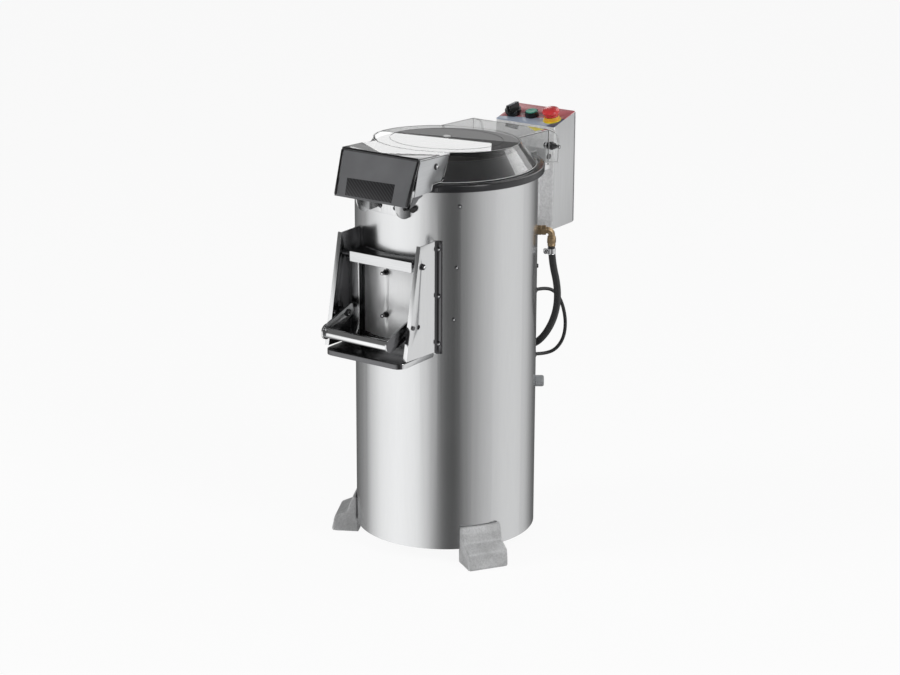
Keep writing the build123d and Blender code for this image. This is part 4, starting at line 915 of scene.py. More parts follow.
FINISHES: dict[str, Finish] = {
    "drum": BrushedSteel("drum_steel", (0.62, 0.625, 0.63), (0.22, 0.27), lines=1500.0, relief=0.03, streak=0.03),
    "sheet": BrushedSteel("sheet_steel", roughness=(0.18, 0.28)),
    "pale_sheet": BrushedSteel("pale_sheet_steel", (0.86, 0.865, 0.87), (0.3, 0.4), relief=0.03, metallic=0.4),
    "mirror_sheet": BrushedSteel("mirror_sheet_steel", (0.64, 0.645, 0.65), (0.16, 0.21), relief=0.01, streak=0.04),
    "header_sheet": BrushedSteel("header_sheet_steel", (0.56, 0.565, 0.57), (0.14, 0.22), Grain.CROSS, relief=0.05),
    "door_sheet": BrushedSteel("door_sheet_steel", (0.72, 0.725, 0.73), (0.29, 0.36), relief=0.03, streak=0.03,
                               metallic=0.6),
    "arm_sheet": BrushedSteel("arm_sheet_steel", roughness=(0.1, 0.2), grain=Grain.DEEP),
    "latch_sheet": BrushedSteel("latch_sheet_steel", roughness=(0.12, 0.2)),
    "box_sheet": BrushedSteel("box_sheet_steel", (0.58, 0.585, 0.59), (0.34, 0.44)),
    # Painted light: the box's front faces in a near-white matte copy of the box steel.
    "box_front_lit": Metal("box_front_lit_steel", (0.95, 0.95, 0.955), (0.4, 0.5), metallic=0.0),
    # Painted shade: a dark copy of the steel for the right plate's flange.
    "flange": BrushedSteel("flange_shade_steel", (0.16, 0.16, 0.165), (0.16, 0.22), relief=0.01),
    # Painted shade: a near-black copy of the header steel for its top.
    "header_top_shade": BrushedSteel("header_top_shade_steel", (0.05, 0.05, 0.052), (0.12, 0.18), relief=0.01),
    "shaded_sheet": BrushedSteel("shaded_sheet_steel", (0.13, 0.13, 0.135), (0.2, 0.28), relief=0.01),
    "cheek": BrushedSteel("cheek_steel", (0.55, 0.56, 0.57), (0.3, 0.42), Grain.DEEP),
    "tube_steel": BrushedSteel("tube_steel", (0.68, 0.685, 0.69), (0.12, 0.18), Grain.CROSS, relief=0.03,
                               streak=0.04),
    # Bright steel, also used for the painted highlights on the drum's black screw heads.
    "bright": Metal("bright_steel_and_screw_highlight", (0.70, 0.70, 0.71), (0.08, 0.16)),
    "dark_steel": Metal("blackened_steel", (0.035, 0.035, 0.038), (0.2, 0.32), 0.6, (0.3, 0.3, 0.31)),
    "black_metal": Metal("black_metal", (0.12, 0.12, 0.125), (0.16, 0.26), 0.9, (0.4, 0.4, 0.41)),
    "brass": Metal("worn_brass", (0.42, 0.31, 0.19), (0.28, 0.45), worn=(0.8, 0.66, 0.42)),
    "casting": Casting("cast_aluminium", (0.72, 0.725, 0.73), metallic=0.45),
    "grit": Casting("abrasive_grit", (0.10, 0.095, 0.09), (0.8, 0.95), 0.0, pits=900.0, relief=0.9),
    "black": Plastic("black_plastic", (0.012, 0.012, 0.014), (0.16, 0.26)),
    "ring": Plastic("ring_black_plastic", (0.016, 0.016, 0.018), (0.14, 0.22)),
    # Gloss black of the bezels and selector, also used on the visor's folds as a painted dark reflection.
    "gloss_black": Plastic("gloss_black_plastic_and_fold_shade", (0.006, 0.006, 0.007), (0.1, 0.16), relief=0.02),
    "collar": Plastic("collar_black_plastic", (0.008, 0.008, 0.009), (0.30, 0.35), relief=0.02),
    # Dark lines on the clear lid; on its rim and edges they are painted shade.
    "lid_line": Plastic("lid_dark_line", (0.02, 0.02, 0.022), (0.5, 0.6), specular=0.1),
    "rubber": Plastic("black_rubber", (0.016, 0.016, 0.017), (0.4, 0.55), texture=1500.0, relief=0.2),
    "visor": Plastic("visor_grey", (0.105, 0.107, 0.112), (0.34, 0.44), texture=2200.0, relief=0.10),
    # Painted shade: a darker, glossier copy of the visor grey for its top.
    "visor_top": Plastic("visor_top_shade_grey", (0.03, 0.03, 0.032), (0.07, 0.12), relief=0.01, specular=0.6),
    "grey": Plastic("grey_plastic", (0.30, 0.31, 0.32), (0.4, 0.55)),
    "pad_grey": Plastic("pad_grey_plastic", (0.13, 0.14, 0.16), (0.3, 0.4)),
    # The white plug, and the painted highlights along the lid's rim and edges.
    "white": Plastic("white_plastic_and_highlight", (0.80, 0.80, 0.80), (0.3, 0.4)),
    "green": Plastic("green_plastic", (0.06, 0.36, 0.25), (0.25, 0.35)),
    "red": Plastic("red_plastic", (0.70, 0.04, 0.045), (0.22, 0.32), coat=0.3),
    "yellow": Plastic("yellow_plastic", (0.85, 0.70, 0.03), (0.3, 0.4)),
    "orange": Plastic("amber_plastic", (0.86, 0.42, 0.03), (0.3, 0.4)),
    "clear": ClearPlastic("clear_polycarbonate"),
    "console": ConsoleFilm("console_film"),
    "lined_patch": LinedPatch("lined_patch"),
}
MATERIALS: dict[str, bpy.types.Material] = {name: finish.build() for name, finish in FINISHES.items()}

FINISH_NODES: dict[str, str] = {
    "drum": "drum_shell",
    "sheet": "chamber_floor motor_mount hinge_bracket box_bracket",
    "mirror_sheet": "side_plate_right side_plate_left frame_strips outlet_tray",
    "header_sheet": "door_header",
    "door_sheet": "door_panel",
    "arm_sheet": "handle_arms",
    "latch_sheet": "latch_bracket",
    "box_sheet": "control_box box_rear_cover",
    "cheek": "visor_cheeks",
    "bright": "shaft_bearings drive_shaft motor_rotor foot_screws handle_tube hose_clamp",
    "dark_steel": "door_studs pivot_bolts lid_screws",
    "black_metal": "drum_screws hinge_pins",
    "brass": "inlet_elbow inlet_nuts spray_nozzle water_valve",
    "casting": "bearing_housing drive_pulley motor_housing motor_pulley foot_front_right foot_rear foot_front_left",
    "grit": "abrasive_liner abrasive_plate",
    "ring": "top_ring",
    "collar": "splash_collar",
    "black": "cable_glands",
    "gloss_black": "control_bezels selector_knob",
    "rubber": "shaft_seal drive_belt door_liner lid_buffer water_hose motor_cable",
    "visor": "visor",
    "grey": "contactor contact_blocks vent_stub drain_outlet",
    "green": "start_button",
    "red": "estop_head",
    "clear": "lid_shell",
    "console": "console_panel",
}


def dress_nodes() -> None:
    """Gives every CAD node its finish by its material slots."""
    for finish, nodes in FINISH_NODES.items():
        for node in nodes.split():
            materials = frame["nodes"][node].data.materials
            materials.clear()
            materials.append(MATERIALS[finish])
            log.info("node %s is %s", node, finish)


# ---------------------------------------------------------------- cords
@dataclass(frozen=True)
class Cord:
    """A hose or cable along a route of chosen points, in millimetres."""

    name: str
    node: str
    route: Sequence[tuple[float, float, float]]
    diameter: float
    stiffness: str
    slot: str = "black_rubber"

    def build(self) -> bpy.types.Object:
        """Makes the cord as one smooth spline.

        Returns:
            The curve object.
        """
        curve = bpy.data.curves.new(self.name, "CURVE")
        curve.dimensions = "3D"
        curve.bevel_depth = self.diameter / 2
        curve.bevel_resolution = 6
        curve.resolution_u = 16
        curve.use_fill_caps = True
        spline = curve.splines.new("NURBS")
        spline.points.add(len(self.route) - 1)
        for point, place in zip(spline.points, self.route):
            point.co = (*[value * MM for value in place], 1)
        spline.order_u = 3
        spline.use_endpoint_u = True
        piece = linked(self.name, curve)
        curve.materials.append(MATERIALS["rubber"])
        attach(piece, "root")
        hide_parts(self.node)
        log.info("cord %s", self.name)
        return piece


HOSE = Cord(
    "water_hose_line", "water_hose",
    ((180.5, 124.5, 634), (181.9, 125.5, 600), (189.8, 137.0, 545), (184.1, 145.2, 495),
     (161.2, 157.3, 447), (119.2, 179.4, 400), (68.9, 203.0, 374), (20, 219, 366), (-22, 219, 365)),
    15 * MM, "medium",
)
CABLE = Cord(
    "motor_cable_line", "motor_cable",
    ((111.3, 178.1, 515), (123.6, 197.7, 517), (139.7, 213.0, 506), (151.8, 220.1, 478),
     (158.2, 223.3, 440), (154.9, 221.0, 404), (141.1, 212.8, 378), (123.6, 197.6, 369),
     (111.3, 178.1, 371)),
    7.5 * MM, "limp",
)


def lay_cords() -> None:
    HOSE.build()
    CABLE.build()


# ---------------------------------------------------------------- studio
@dataclass
class Studio:
    """Camera, lights, floor and surroundings."""

    azimuth: float = 34.599
    elevation: float = 17.401
    roll: float = 0.242
    distance: float = 5.1283
    aim_height: float = 0.433
    aim_right: float = 0.0087
    focal_pixels: float = 2432.87
    frame_pixels: float = 900.0
    sensor: float = 36.0
    floor_size: float = 80.0
    floor_shown: float = 0.93
    brightest: float = 1.5
    ceiling: float = 0.16
    fade: tuple[float, float] = (-0.05, 0.2)
    levels: Pairs = (
        (0.00, 0.38), (0.05, 0.95), (0.10, 1.30), (0.17, 1.42), (0.24, 1.30), (0.28, 0.95), (0.31, 0.42),
        (0.34, 0.13), (0.385, 0.09), (0.43, 0.40), (0.49, 0.70), (0.56, 0.95), (0.63, 0.97), (0.69, 0.76),
        (0.73, 0.38), (0.77, 0.13), (0.90, 0.15), (1.00, 0.38),
    )
    card_bearing: float = 123.8
    card_distance: float = 2.5
    glow_bearing: float = 52.0
    glow_distance: float = 3.0
    glow_heights: tuple[float, float] = (1.5, 6.5)
    glow_levels: Pairs = (
        (-2.8, 0.0), (-2.4, 0.25), (-1.66, 0.5), (-1.09, 0.8), (-0.53, 1.3), (-0.05, 1.9), (0.42, 2.4),
        (1.5, 2.2), (2.4, 1.7), (4.5, 0.9), (6.0, 0.0),
    )

    def camera(self) -> None:
        """Creates the camera and makes it the scene's."""
        turn, tilt, roll = (math.radians(value) for value in (self.azimuth, self.elevation, self.roll))
        right = Vector((math.cos(turn), math.sin(turn), 0))
        back = Vector((math.sin(turn) * math.cos(tilt), -math.cos(turn) * math.cos(tilt), math.sin(tilt)))
        place = Vector((0, 0, self.aim_height)) + right * self.aim_right + back * self.distance
        data = bpy.data.cameras.new("camera")
        data.sensor_width = self.sensor
        data.sensor_fit = "HORIZONTAL"
        data.lens = self.focal_pixels * self.sensor / self.frame_pixels
        data.clip_end = 50.0
        across = right * math.cos(roll) + back.cross(right) * math.sin(roll)
        turned = Matrix((across, back.cross(across), back)).transposed()
        camera = linked("camera", data)
        camera.matrix_world = Matrix.Translation(place) @ turned.to_4x4()
        bpy.context.scene.camera = camera

    def direct_view(self, tree: Tree) -> bpy.types.NodeSocket:
        """A mask that is 1 for what is seen straight or through clear parts, and 0 in mirrored views.

        Args:
            tree: The material's or world's tree.

        Returns:
            The mask.
        """
        rays = tree.node("LightPath").outputs
        unmirrored = tree.math("LESS_THAN", rays["Glossy Depth"], 0.5)
        return tree.math("MULTIPLY_ADD", rays["Is Transmission Ray"], unmirrored, rays["Is Camera Ray"])

    def surroundings(self) -> None:
        """White to the camera and through clear parts; bright and dim walls round the metal."""
        world = bpy.data.worlds.new("studio")
        bpy.context.scene.world = world
        world.use_nodes = True
        world.node_tree.nodes.clear()
        tree = Tree(world.node_tree)
        parts = tree.node("SeparateXYZ", {"Vector": tree.node("TexCoord").outputs["Generated"]}).outputs
        bearing = tree.remap(tree.math("ARCTAN2", parts["Y"], parts["X"]), start=-math.pi, end=math.pi)
        stops = [(position, (level / self.brightest,) * 3) for position, level in self.levels]
        height = tree.remap(parts["Z"], start=self.fade[0], end=self.fade[1])
        room = tree.mix(height, tree.ramp(bearing, stops, "EASE"), (self.ceiling / self.brightest,) * 3)
        walls = tree.node("Background", {"Color": room, "Strength": self.brightest})
        white = tree.node("Background", {"Color": (1, 1, 1)})
        seen = tree.node("MixShader", {"Fac": self.direct_view(tree), 1: walls.outputs["Background"],
                                       2: white.outputs["Background"]})
        tree.node("OutputWorld", {"Surface": seen.outputs["Shader"]})

    def floor(self) -> None:
        """A wide pale floor that shows white and keeps the shadow."""
        deselect()
        bpy.ops.mesh.primitive_plane_add(size=self.floor_size, location=(0, 0, 0))
        floor = named(bpy.context.active_object, "studio_floor")
        shader = Shader("studio_floor")
        shade = shader.noise(shader.place(), 0.6, 2.0)
        shader.feed(Roughness=0.9, Specular_IOR_Level=0.1,
                    Base_Color=shader.ramp(shade, [(0.3, (0.90, 0.90, 0.90)), (0.7, (0.92, 0.92, 0.92))]))
        glow = shader.node("Emission", {"Color": (1, 1, 1)})
        shown = shader.remap(self.direct_view(shader), 0.0, self.floor_shown)
        mix = shader.node("MixShader", {"Fac": shown, 1: shader.principled.outputs["BSDF"],
                                        2: glow.outputs["Emission"]})
        shader.put(shader.tree.nodes["Material Output"].inputs["Surface"], mix.outputs["Shader"])
        floor.data.materials.append(shader.material)
        floor.visible_glossy = False

    def screen(self, name: str, bearing: float, distance: float, corners: Pairs) -> tuple[Shader, Vector]:
        """An upright sheet that faces the machine and is seen only in mirrored views.

        Args:
            name: Name of the sheet.
            bearing: Where it stands, in degrees from +X.
            distance: How far it stands from the drum's axis, in metres.
            corners: Reach sideways and height of each corner, in metres.

        Returns:
            Its black material, and the direction that its reach is measured in.
        """
        turn = math.radians(bearing)
        far = Vector((math.cos(turn), math.sin(turn), 0)) * distance
        side = Vector((-math.sin(turn), math.cos(turn), 0))
        mesh = bpy.data.meshes.new(name)
        mesh.from_pydata([tuple(far + side * reach + UP * height) for reach, height in corners], [], [(0, 1, 2, 3)])
        card = linked(name, mesh)
        shader = Shader(name)
        shader.feed(Base_Color=(0, 0, 0))
        mesh.materials.append(shader.material)
        for kind in ("visible_camera", "visible_diffuse", "visible_transmission", "visible_shadow"):
            setattr(card, kind, False)
        return shader, side

    def card(self, name: str, low: tuple[float, float], high: tuple[float, float], level: float,
             half: tuple[float, float]) -> None:
        """A card behind the machine that the lid's clear top mirrors.

        Args:
            name: Name of the card.
            low: Height of its lower corners, left and right.
            high: Height of its upper corners, left and right.
            level: How bright it is.
            half: Its reach to the left and to the right.
        """
        left, right = half[0], -half[1]
        corners = ((left, low[0]), (right, low[1]), (right, high[1]), (left, high[0]))
        shader, _ = self.screen(name, self.card_bearing, self.card_distance, corners)
        shader.feed(Emission_Color=(1, 1, 1), Emission_Strength=level)

    def glow(self) -> None:
        """A tall card to the rear right whose brightness fades sideways, mirrored by the lid's cone."""
        first, last = self.glow_levels[0][0], self.glow_levels[-1][0]
        foot, top = self.glow_heights
        corners = ((last, foot), (first, foot), (first, top), (last, top))
        shader, side = self.screen("glow_card", self.glow_bearing, self.glow_distance, corners)
        across = shader.node("VectorMath", {0: shader.place(), 1: side}, operation="DOT_PRODUCT").outputs["Value"]
        share = shader.remap(across, start=first, end=last)
        peak = max(level for _, level in self.glow_levels)
        stops = [((reach - first) / (last - first), (level / peak,) * 3) for reach, level in self.glow_levels]
        shader.feed(Emission_Color=shader.ramp(share, stops), Emission_Strength=peak)

    def light(self, name: str, place: Sequence[float], size: tuple[float, float], power: float,
              mirrored: bool) -> None:
        """Adds a soft lamp that faces the machine.

        Args:
            name: Name of the lamp.
            place: Where it stands.
            size: Width and height.
            power: Power in watts.
            mirrored: Whether glossy surfaces mirror it.
        """
        data = bpy.data.lights.new(name, "AREA")
        data.shape = "RECTANGLE"
        data.size, data.size_y = size
        data.energy = power
        lamp = linked(name, data)
        facing = (Vector((0, 0, 0.5)) - Vector(place)).to_track_quat("-Z", "Y")
        lamp.matrix_world = Matrix.Translation(place) @ facing.to_matrix().to_4x4()
        lamp.visible_glossy = mirrored

    def build(self) -> None:
        """Sets the whole studio up."""
        self.camera()
        self.surroundings()
        self.floor()
        edge = (1.205, 1.231)
        self.card("bright_card", edge, (2.3, 2.34), 2.2, (0.42, 0.125))
        self.card("dim_card", (0.6, 0.6), edge, 0.5, (0.5, 0.45))
        self.light("left_softbox", (-2.4, -2.6, 1.9), (1.2, 2.2), 70, False)
        self.light("right_softbox", (3.4, -0.6, 2.2), (1.4, 2.2), 55, True)
        self.light("rear_softbox", (1.6, 3.3, 2.3), (1.6, 1.2), 20, False)
        self.glow()
        bpy.context.scene.view_settings.view_transform = "Standard"
        log.info("studio ready")


# ---------------------------------------------------------------- softened sheets and mouldings
@dataclass(frozen=True)
class Soft:
    """A node of the frame whose edges get the roundness of real sheet, moulding or casting."""

    node: str
    finish: str
    radius: float = 0.5
    segments: int = 2
    angle: float = 30.0
    second: str = ""
    where: Faces | None = None

    def build(self) -> None:
        """Makes the softened piece in the node's place, with its second finish on the chosen faces."""
        piece = copy_of(self.node, f"{self.node}_soft")
        bevel(piece, self.radius * MM, self.segments, self.angle)
        smooth(piece, 40)
        if self.where:
            for finish in (self.finish, self.second):
                piece.data.materials.append(MATERIALS[finish])
            for face in piece.data.polygons:
                if self.where(face.center, face.normal):
                    face.material_index = 1
        finish_piece(piece, frame["nodes"][self.node]["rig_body"], SLOTS[self.node], self.finish, self.node)


SOFTENED = (
    # The flange faces take a dark copy of the steel: painted shade.
    Soft("side_plate_right", "mirror_sheet", 0.6, 2, 30, "flange", lambda centre, normal: centre.x > 90.5 * MM),
    Soft("side_plate_left", "mirror_sheet", 0.6, 2, 30, "shaded_sheet", lambda centre, normal: normal.x > 0.7),
    Soft("frame_strips", "mirror_sheet"),
    Soft("outlet_tray", "mirror_sheet", 0.8, 2, 30, "shaded_sheet",
         lambda centre, normal: normal.z > 0.5 or normal.y < -0.5),
    # The header's top faces take a near-black copy of its steel: painted shade.
    Soft("door_header", "header_sheet", 0.7, 2, 30, "header_top_shade", lambda centre, normal: normal.z > 0.3),
    Soft("door_panel", "door_sheet", 0.4),
    Soft("handle_arms", "arm_sheet", 0.8, 2, 30, "shaded_sheet",
         lambda centre, normal: centre.x > 0.0 and normal.x > 0.7),
    # The visor's top faces take a darker, glossier copy of its grey: painted shade.
    Soft("visor", "visor", 0.9, 3, 30, "visor_top", lambda centre, normal: normal.z > 0.9),
    Soft("visor_cheeks", "cheek"),
    # The box's front faces take a near-white matte copy of its steel: painted light.
    Soft("control_box", "box_sheet", 0.5, 2, 50, "box_front_lit", lambda centre, normal: normal.y < -0.7),
    Soft("console_panel", "console", 0.4),
    Soft("box_rear_cover", "box_sheet", 0.5, 2, 50),
    Soft("box_bracket", "pale_sheet", 0.6, 2, 50),
    Soft("hinge_bracket", "pale_sheet", 0.8),
    Soft("latch_bracket", "latch_sheet"),
    Soft("control_bezels", "gloss_black", 0.4),
    Soft("cable_glands", "black", 0.7),
    Soft("top_ring", "ring", 0.8, 2, 50),
    Soft("hinge_pins", "black_metal"),
    Soft("water_valve", "brass", 0.6, 2, 50),
)


# ---------------------------------------------------------------- sub-assemblies
DRUM_RADIUS = 190.0
LID_SLOPE = math.radians(2.7)
LID_CREST = 861.5
LID_UP = Vector((0, math.sin(LID_SLOPE), math.cos(LID_SLOPE)))
CONSOLE_SLOPE = math.radians(13.7)
CONSOLE_RUN = Vector((0, math.cos(CONSOLE_SLOPE), math.sin(CONSOLE_SLOPE)))
CONSOLE_UP = Vector((0, -math.sin(CONSOLE_SLOPE), math.cos(CONSOLE_SLOPE)))
CONSOLE_SHEET = 1.5
CONSOLE_FOOT = Vector((0, 296, 841)) * MM + CONSOLE_UP * CONSOLE_SHEET * MM


def lid_point(x: float, y: float) -> Vector:
    """A point on the lid's sloping top, with both values in millimetres."""
    return Vector((x, y, LID_CREST - y * math.tan(LID_SLOPE))) * MM


def console_point(x: float, run: float, above: float = 0.0) -> Vector:
    """A point over the console's film, by its place across and up the slope, in millimetres."""
    return CONSOLE_FOOT + (Vector((1, 0, 0)) * x + CONSOLE_RUN * run + CONSOLE_UP * above) * MM


@dataclass
class Lid:
    """Marks, trim, painted edge highlights and shade lines, and bolts of the clear lid and its visor, in millimetres.
    """

    rim_line: float = 149.5
    inner_line: float = 117.0
    line_width: float = 0.9
    line_rise: float = 0.25
    line_sink: float = 0.2
    plug_radius: float = 8.0
    plug_place: tuple[float, float] = (-16.0, 24.0)
    patch_corners: Pairs = ((45, 236), (60, 240), (89, 232), (85, 203))
    side_half: float = 98.0
    front_half: float = 95.2
    rear: float = 239.7
    rear_top: float = 849.6
    rear_foot: float = 774.4
    rim_crest: float = 861.3
    rim_fall: float = 0.0472
    rim_ends: tuple[float, float] = (118, 239)
    wing_corners: Sequence[tuple[float, float, int, int]] = (
        (122, 855, 1, 0), (158, 813.8, 1, 0), (191, 813.8, 1, 0), (196, 785.6, 1, 1), (276.6, 771.6, -1, 1),
        (279.7, 809, -1, 0), (268, 838.2, 0, -1), (241, 849.6, 0, -1),
    )
    front_corners: Sequence[tuple[float, float, int, int]] = (
        (-226, 871.3, 0, -1), (-127.5, 866.7, -1, -1), (-150.5, 814.6, -1, 1), (-186, 814.6, 1, 1), (-190, 803, 1, 1),
    )
    foot_height: float = 813.0
    bolt_reach: float = 95.0
    bolt_place: tuple[float, float] = (-173.6, 849.0)
    rivet_place: tuple[float, float] = (-146.0, 819.0)
    visor_half: float = 95.0
    visor_foot_half: float = 89.0
    visor_top: tuple[float, float] = (-230, 872.3)
    visor_run: tuple[float, float, float] = (0, -35, -90)
    visor_out: tuple[float, float, float] = (0, -90, 35)
    visor_length: float = 96.57
    visor_patch: Pairs = ((-66.8, 57.5), (49.9, 54.9), (50.6, 92.1), (-63.6, 92.3))
    fold_radius: float = 3.6
    fold_inset: float = 1.8
    fold_depth: float = 1.6
    return_side: float = 93.5
    return_outline: Pairs = (
        (-262, 781), (-247, 785), (-238.5, 790), (-232, 795), (-218, 798), (-221.5, 801), (-250, 801),
    )

    def line(self, name: str, radius: float, width: float, finish: str) -> None:
        """A thin raised line round the lid's top, which the rim's lines use as painted shade and a painted highlight.

        Args:
            name: Name of the piece.
            radius: Its radius, in millimetres.
            width: Its width, in millimetres.
            finish: Name of its finish.
        """
        half, rise, sink = width / 2, self.line_rise, -self.line_sink
        profile = [(radius - half, sink), (radius + half, sink), (radius + 0.6 * half, rise),
                   (radius - 0.6 * half, rise), (radius - half, sink)]
        finish_piece(lathe(name, profile, LID_UP, lid_point(0, 0), 128), "lid", "black_plastic", finish)

    def plug(self) -> None:
        """The small white plug in the lid's top."""
        radius = self.plug_radius
        profile = [(0, 1.8), (0.55 * radius, 1.7), (0.85 * radius, 1.2), (radius, 0.2), (radius, -0.3), (0, -0.3)]
        piece = lathe("lid_plug", profile, LID_UP, lid_point(*self.plug_place), 40)
        finish_piece(piece, "lid", "clear_plastic", "white")

    def edge(self, across: float, corners: Pairs, radius: float = 0.55, bend: float = 0.0) -> bpy.types.Object:
        """One edge of an upright sheet, as a thin rod coloured as a painted edge line.

        Args:
            across: Its place across the lid.
            corners: Depth and height of its corners.
            radius: Its radius.
            bend: How far from a corner its bend starts.

        Returns:
            The edge.
        """
        return rod("edge", [Vector((across, y, z)) * MM for y, z in corners], radius, bend)

    def edges(self) -> None:
        """Painted highlights and painted dark lines along the edges of the clear sheets: front block, rear tongue and
        wings.
        """
        light, dark = [], []
        for side in (-1, 1):
            for rods, inner in ((light, 0.3), (dark, 1.5)):
                across = side * (self.side_half - inner)
                wing, front = ([(y + inward * inner, z + upward * inner) for y, z, inward, upward in corners]
                               for corners in (self.wing_corners, self.front_corners))
                back = [(self.rear - inner, z) for z in (self.rear_top - inner, self.rear_foot)]
                rim = [(y, self.rim_crest - y * self.rim_fall - inner) for y in self.rim_ends]
                rods += [self.edge(across, wing, bend=3.0), self.edge(across, back), self.edge(across, rim),
                         self.edge(side * self.front_half, front, 0.6, 3.0)]
        # Painted highlight lines along the rear top edge and round the lid's foot.
        light.append(rod("edge", [Vector((x, self.rear, self.rear_top + 0.2)) * MM for x in (-97.5, 97.5)], 0.6))
        foot = [(185.6, 0.1), (186.6, 0.1), (187.0, 0.6), (186.4, 1.3), (185.6, 1.1), (185.6, 0.1)]
        light.append(lathe("edge", foot, UP, UP * self.foot_height * MM, 160))
        finish_piece(join(light, "lid_edge_highlights"), "lid", "clear_plastic", "white")
        finish_piece(join(dark, "lid_edge_shade_lines"), "lid", "clear_plastic", "lid_line")

    def patch(self) -> None:
        """The bare yellow patch near the hinge."""
        outline = [lid_point(x, y) for x, y in self.patch_corners]
        finish_piece(prism("lid_patch", outline, LID_UP * 0.35 * MM, 0.15 * MM), "lid", "printed_film", "yellow")

    def on_visor(self, x: float, down: float, out: float = 0.0) -> Vector:
        """A point on the visor's face, by its place across and down the face, in millimetres."""
        place = Vector((x, *self.visor_top)) + Vector(self.visor_run) / self.visor_length * down
        return (place + Vector(self.visor_out) / self.visor_length * out) * MM

    def panel(self) -> None:
        """The dark lined patch low on the visor's face."""
        outline = [self.on_visor(x, down) for x, down in self.visor_patch]
        out = self.on_visor(0, 0, 0.5) - self.on_visor(0, 0)
        finish_piece(prism("visor_patch", outline, out, 0.2 * MM), "lid", "black_plastic", "lined_patch")

    def fold(self, name: str, start: Vector, end: Vector) -> None:
        """A glossy rounded fold along one edge of the visor, in black: a painted dark reflection along the bend.

        Args:
            name: Name of the piece.
            start: One end of the edge, in metres.
            end: The other end.
        """
        length = (end - start).length / MM
        radius = self.fold_radius
        profile = [(0, 0), (0.6 * radius, 0.25 * radius), (radius, radius), (radius, length - radius),
                   (0.6 * radius, length - 0.25 * radius), (0, length)]
        finish_piece(lathe(name, profile, end - start, start, 20), "lid", "black_plastic", "gloss_black")

    def folds(self) -> None:
        """The black folds along the visor's top and both sides, painted dark reflections of the bends."""
        inset, depth = self.fold_inset, -self.fold_depth
        top = [self.on_visor(side * (self.visor_half - inset), 0.4, depth) for side in (-1, 1)]
        foot = [self.on_visor(side * (self.visor_foot_half - inset), self.visor_length - 1, depth) for side in (-1, 1)]
        self.fold("visor_top_fold", *top)
        self.fold("visor_left_fold", top[0], foot[0])
        self.fold("visor_right_fold", top[1], foot[1])

    def side_return(self) -> None:
        """The visor's sheet turned back along its right side, above the cheek."""
        outline = [Vector((self.return_side, y, z)) * MM for y, z in self.return_outline]
        piece = prism("visor_return", outline, Vector((1.5, 0, 0)) * MM, 0.3 * MM)
        finish_piece(piece, "lid", "black_plastic", "visor")

    def bolts(self) -> None:
        """The bolts through the cheeks: a black washer, a bright dome nut and a small rivet behind."""
        washer = [(0, 0), (6.8, 0), (6.9, 0.7), (6.2, 1.6), (4.6, 1.9), (0, 1.9)]
        rivet = [(0, 2.2), (2.2, 2.0), (3.6, 1.0), (3.8, 0), (0, 0)]
        washers, nuts = [], []
        for side in (-1, 1):
            axis = Vector((side, 0, 0))
            seat = Vector((side * self.bolt_reach, *self.bolt_place)) * MM
            washers.append(lathe("washer", washer, axis, seat, 32))
            nuts.append(hexagon("nut", 8.0, 3.2, axis, seat + axis * 1.6 * MM, 12))
            behind = Vector((side * self.bolt_reach, *self.rivet_place)) * MM
            washers.append(lathe("rivet", rivet, axis, behind, 24))
        finish_piece(join(washers, "cheek_washers"), "lid", "dark_steel", "black_metal", "lid_screws")
        finish_piece(join(nuts, "cheek_nuts"), "lid", "steel", "bright")

    def build(self) -> None:
        """Builds every piece of the lid."""
        # The rim's dark and white lines are painted shade and a painted highlight along the edge of the clear top.
        self.line("lid_rim_shade_line", self.rim_line, 1.6 * self.line_width, "lid_line")
        self.line("lid_rim_highlight", self.rim_line + 1.7, self.line_width, "white")
        self.line("lid_inner_line", self.inner_line, self.line_width, "lid_line")
        self.edges()
        self.plug()
        self.patch()
        self.panel()
        self.folds()
        self.side_return()
        self.bolts()


@dataclass
class Hinge:
    """Bright ends of the hinge bolts and the washers below them, in millimetres."""

    height: float = 813.0
    back: float = 250.0
    end: float = 118.0
    ear: float = 88.0
    washer_drop: float = 24.0

    def build(self) -> None:
        """Builds the bolt ends and the washers."""
        end = [(0, 0.3), (2.6, 0.0), (4.0, -0.8), (4.4, -2.0), (4.4, -5.0), (0, -5.0)]
        washer = [(0, 4.2), (2.4, 4.2), (2.8, 4.5), (4.8, 4.4), (5.7, 3.8), (5.7, 0), (0, 0)]
        ends, washers = [], []
        for side in (-1, 1):
            axis = Vector((side, 0, 0))
            tip = Vector((side * self.end, self.back, self.height)) * MM
            ends.append(lathe("end", end, axis, tip, 24))
            seat = Vector((side * self.ear, self.back, self.height - self.washer_drop)) * MM
            washers.append(lathe("washer", washer, axis, seat, 32))
        finish_piece(join(ends, "hinge_bolt_ends"), "root", "steel", "bright")
        finish_piece(join(washers, "hinge_washers"), "root", "steel", "black_metal")


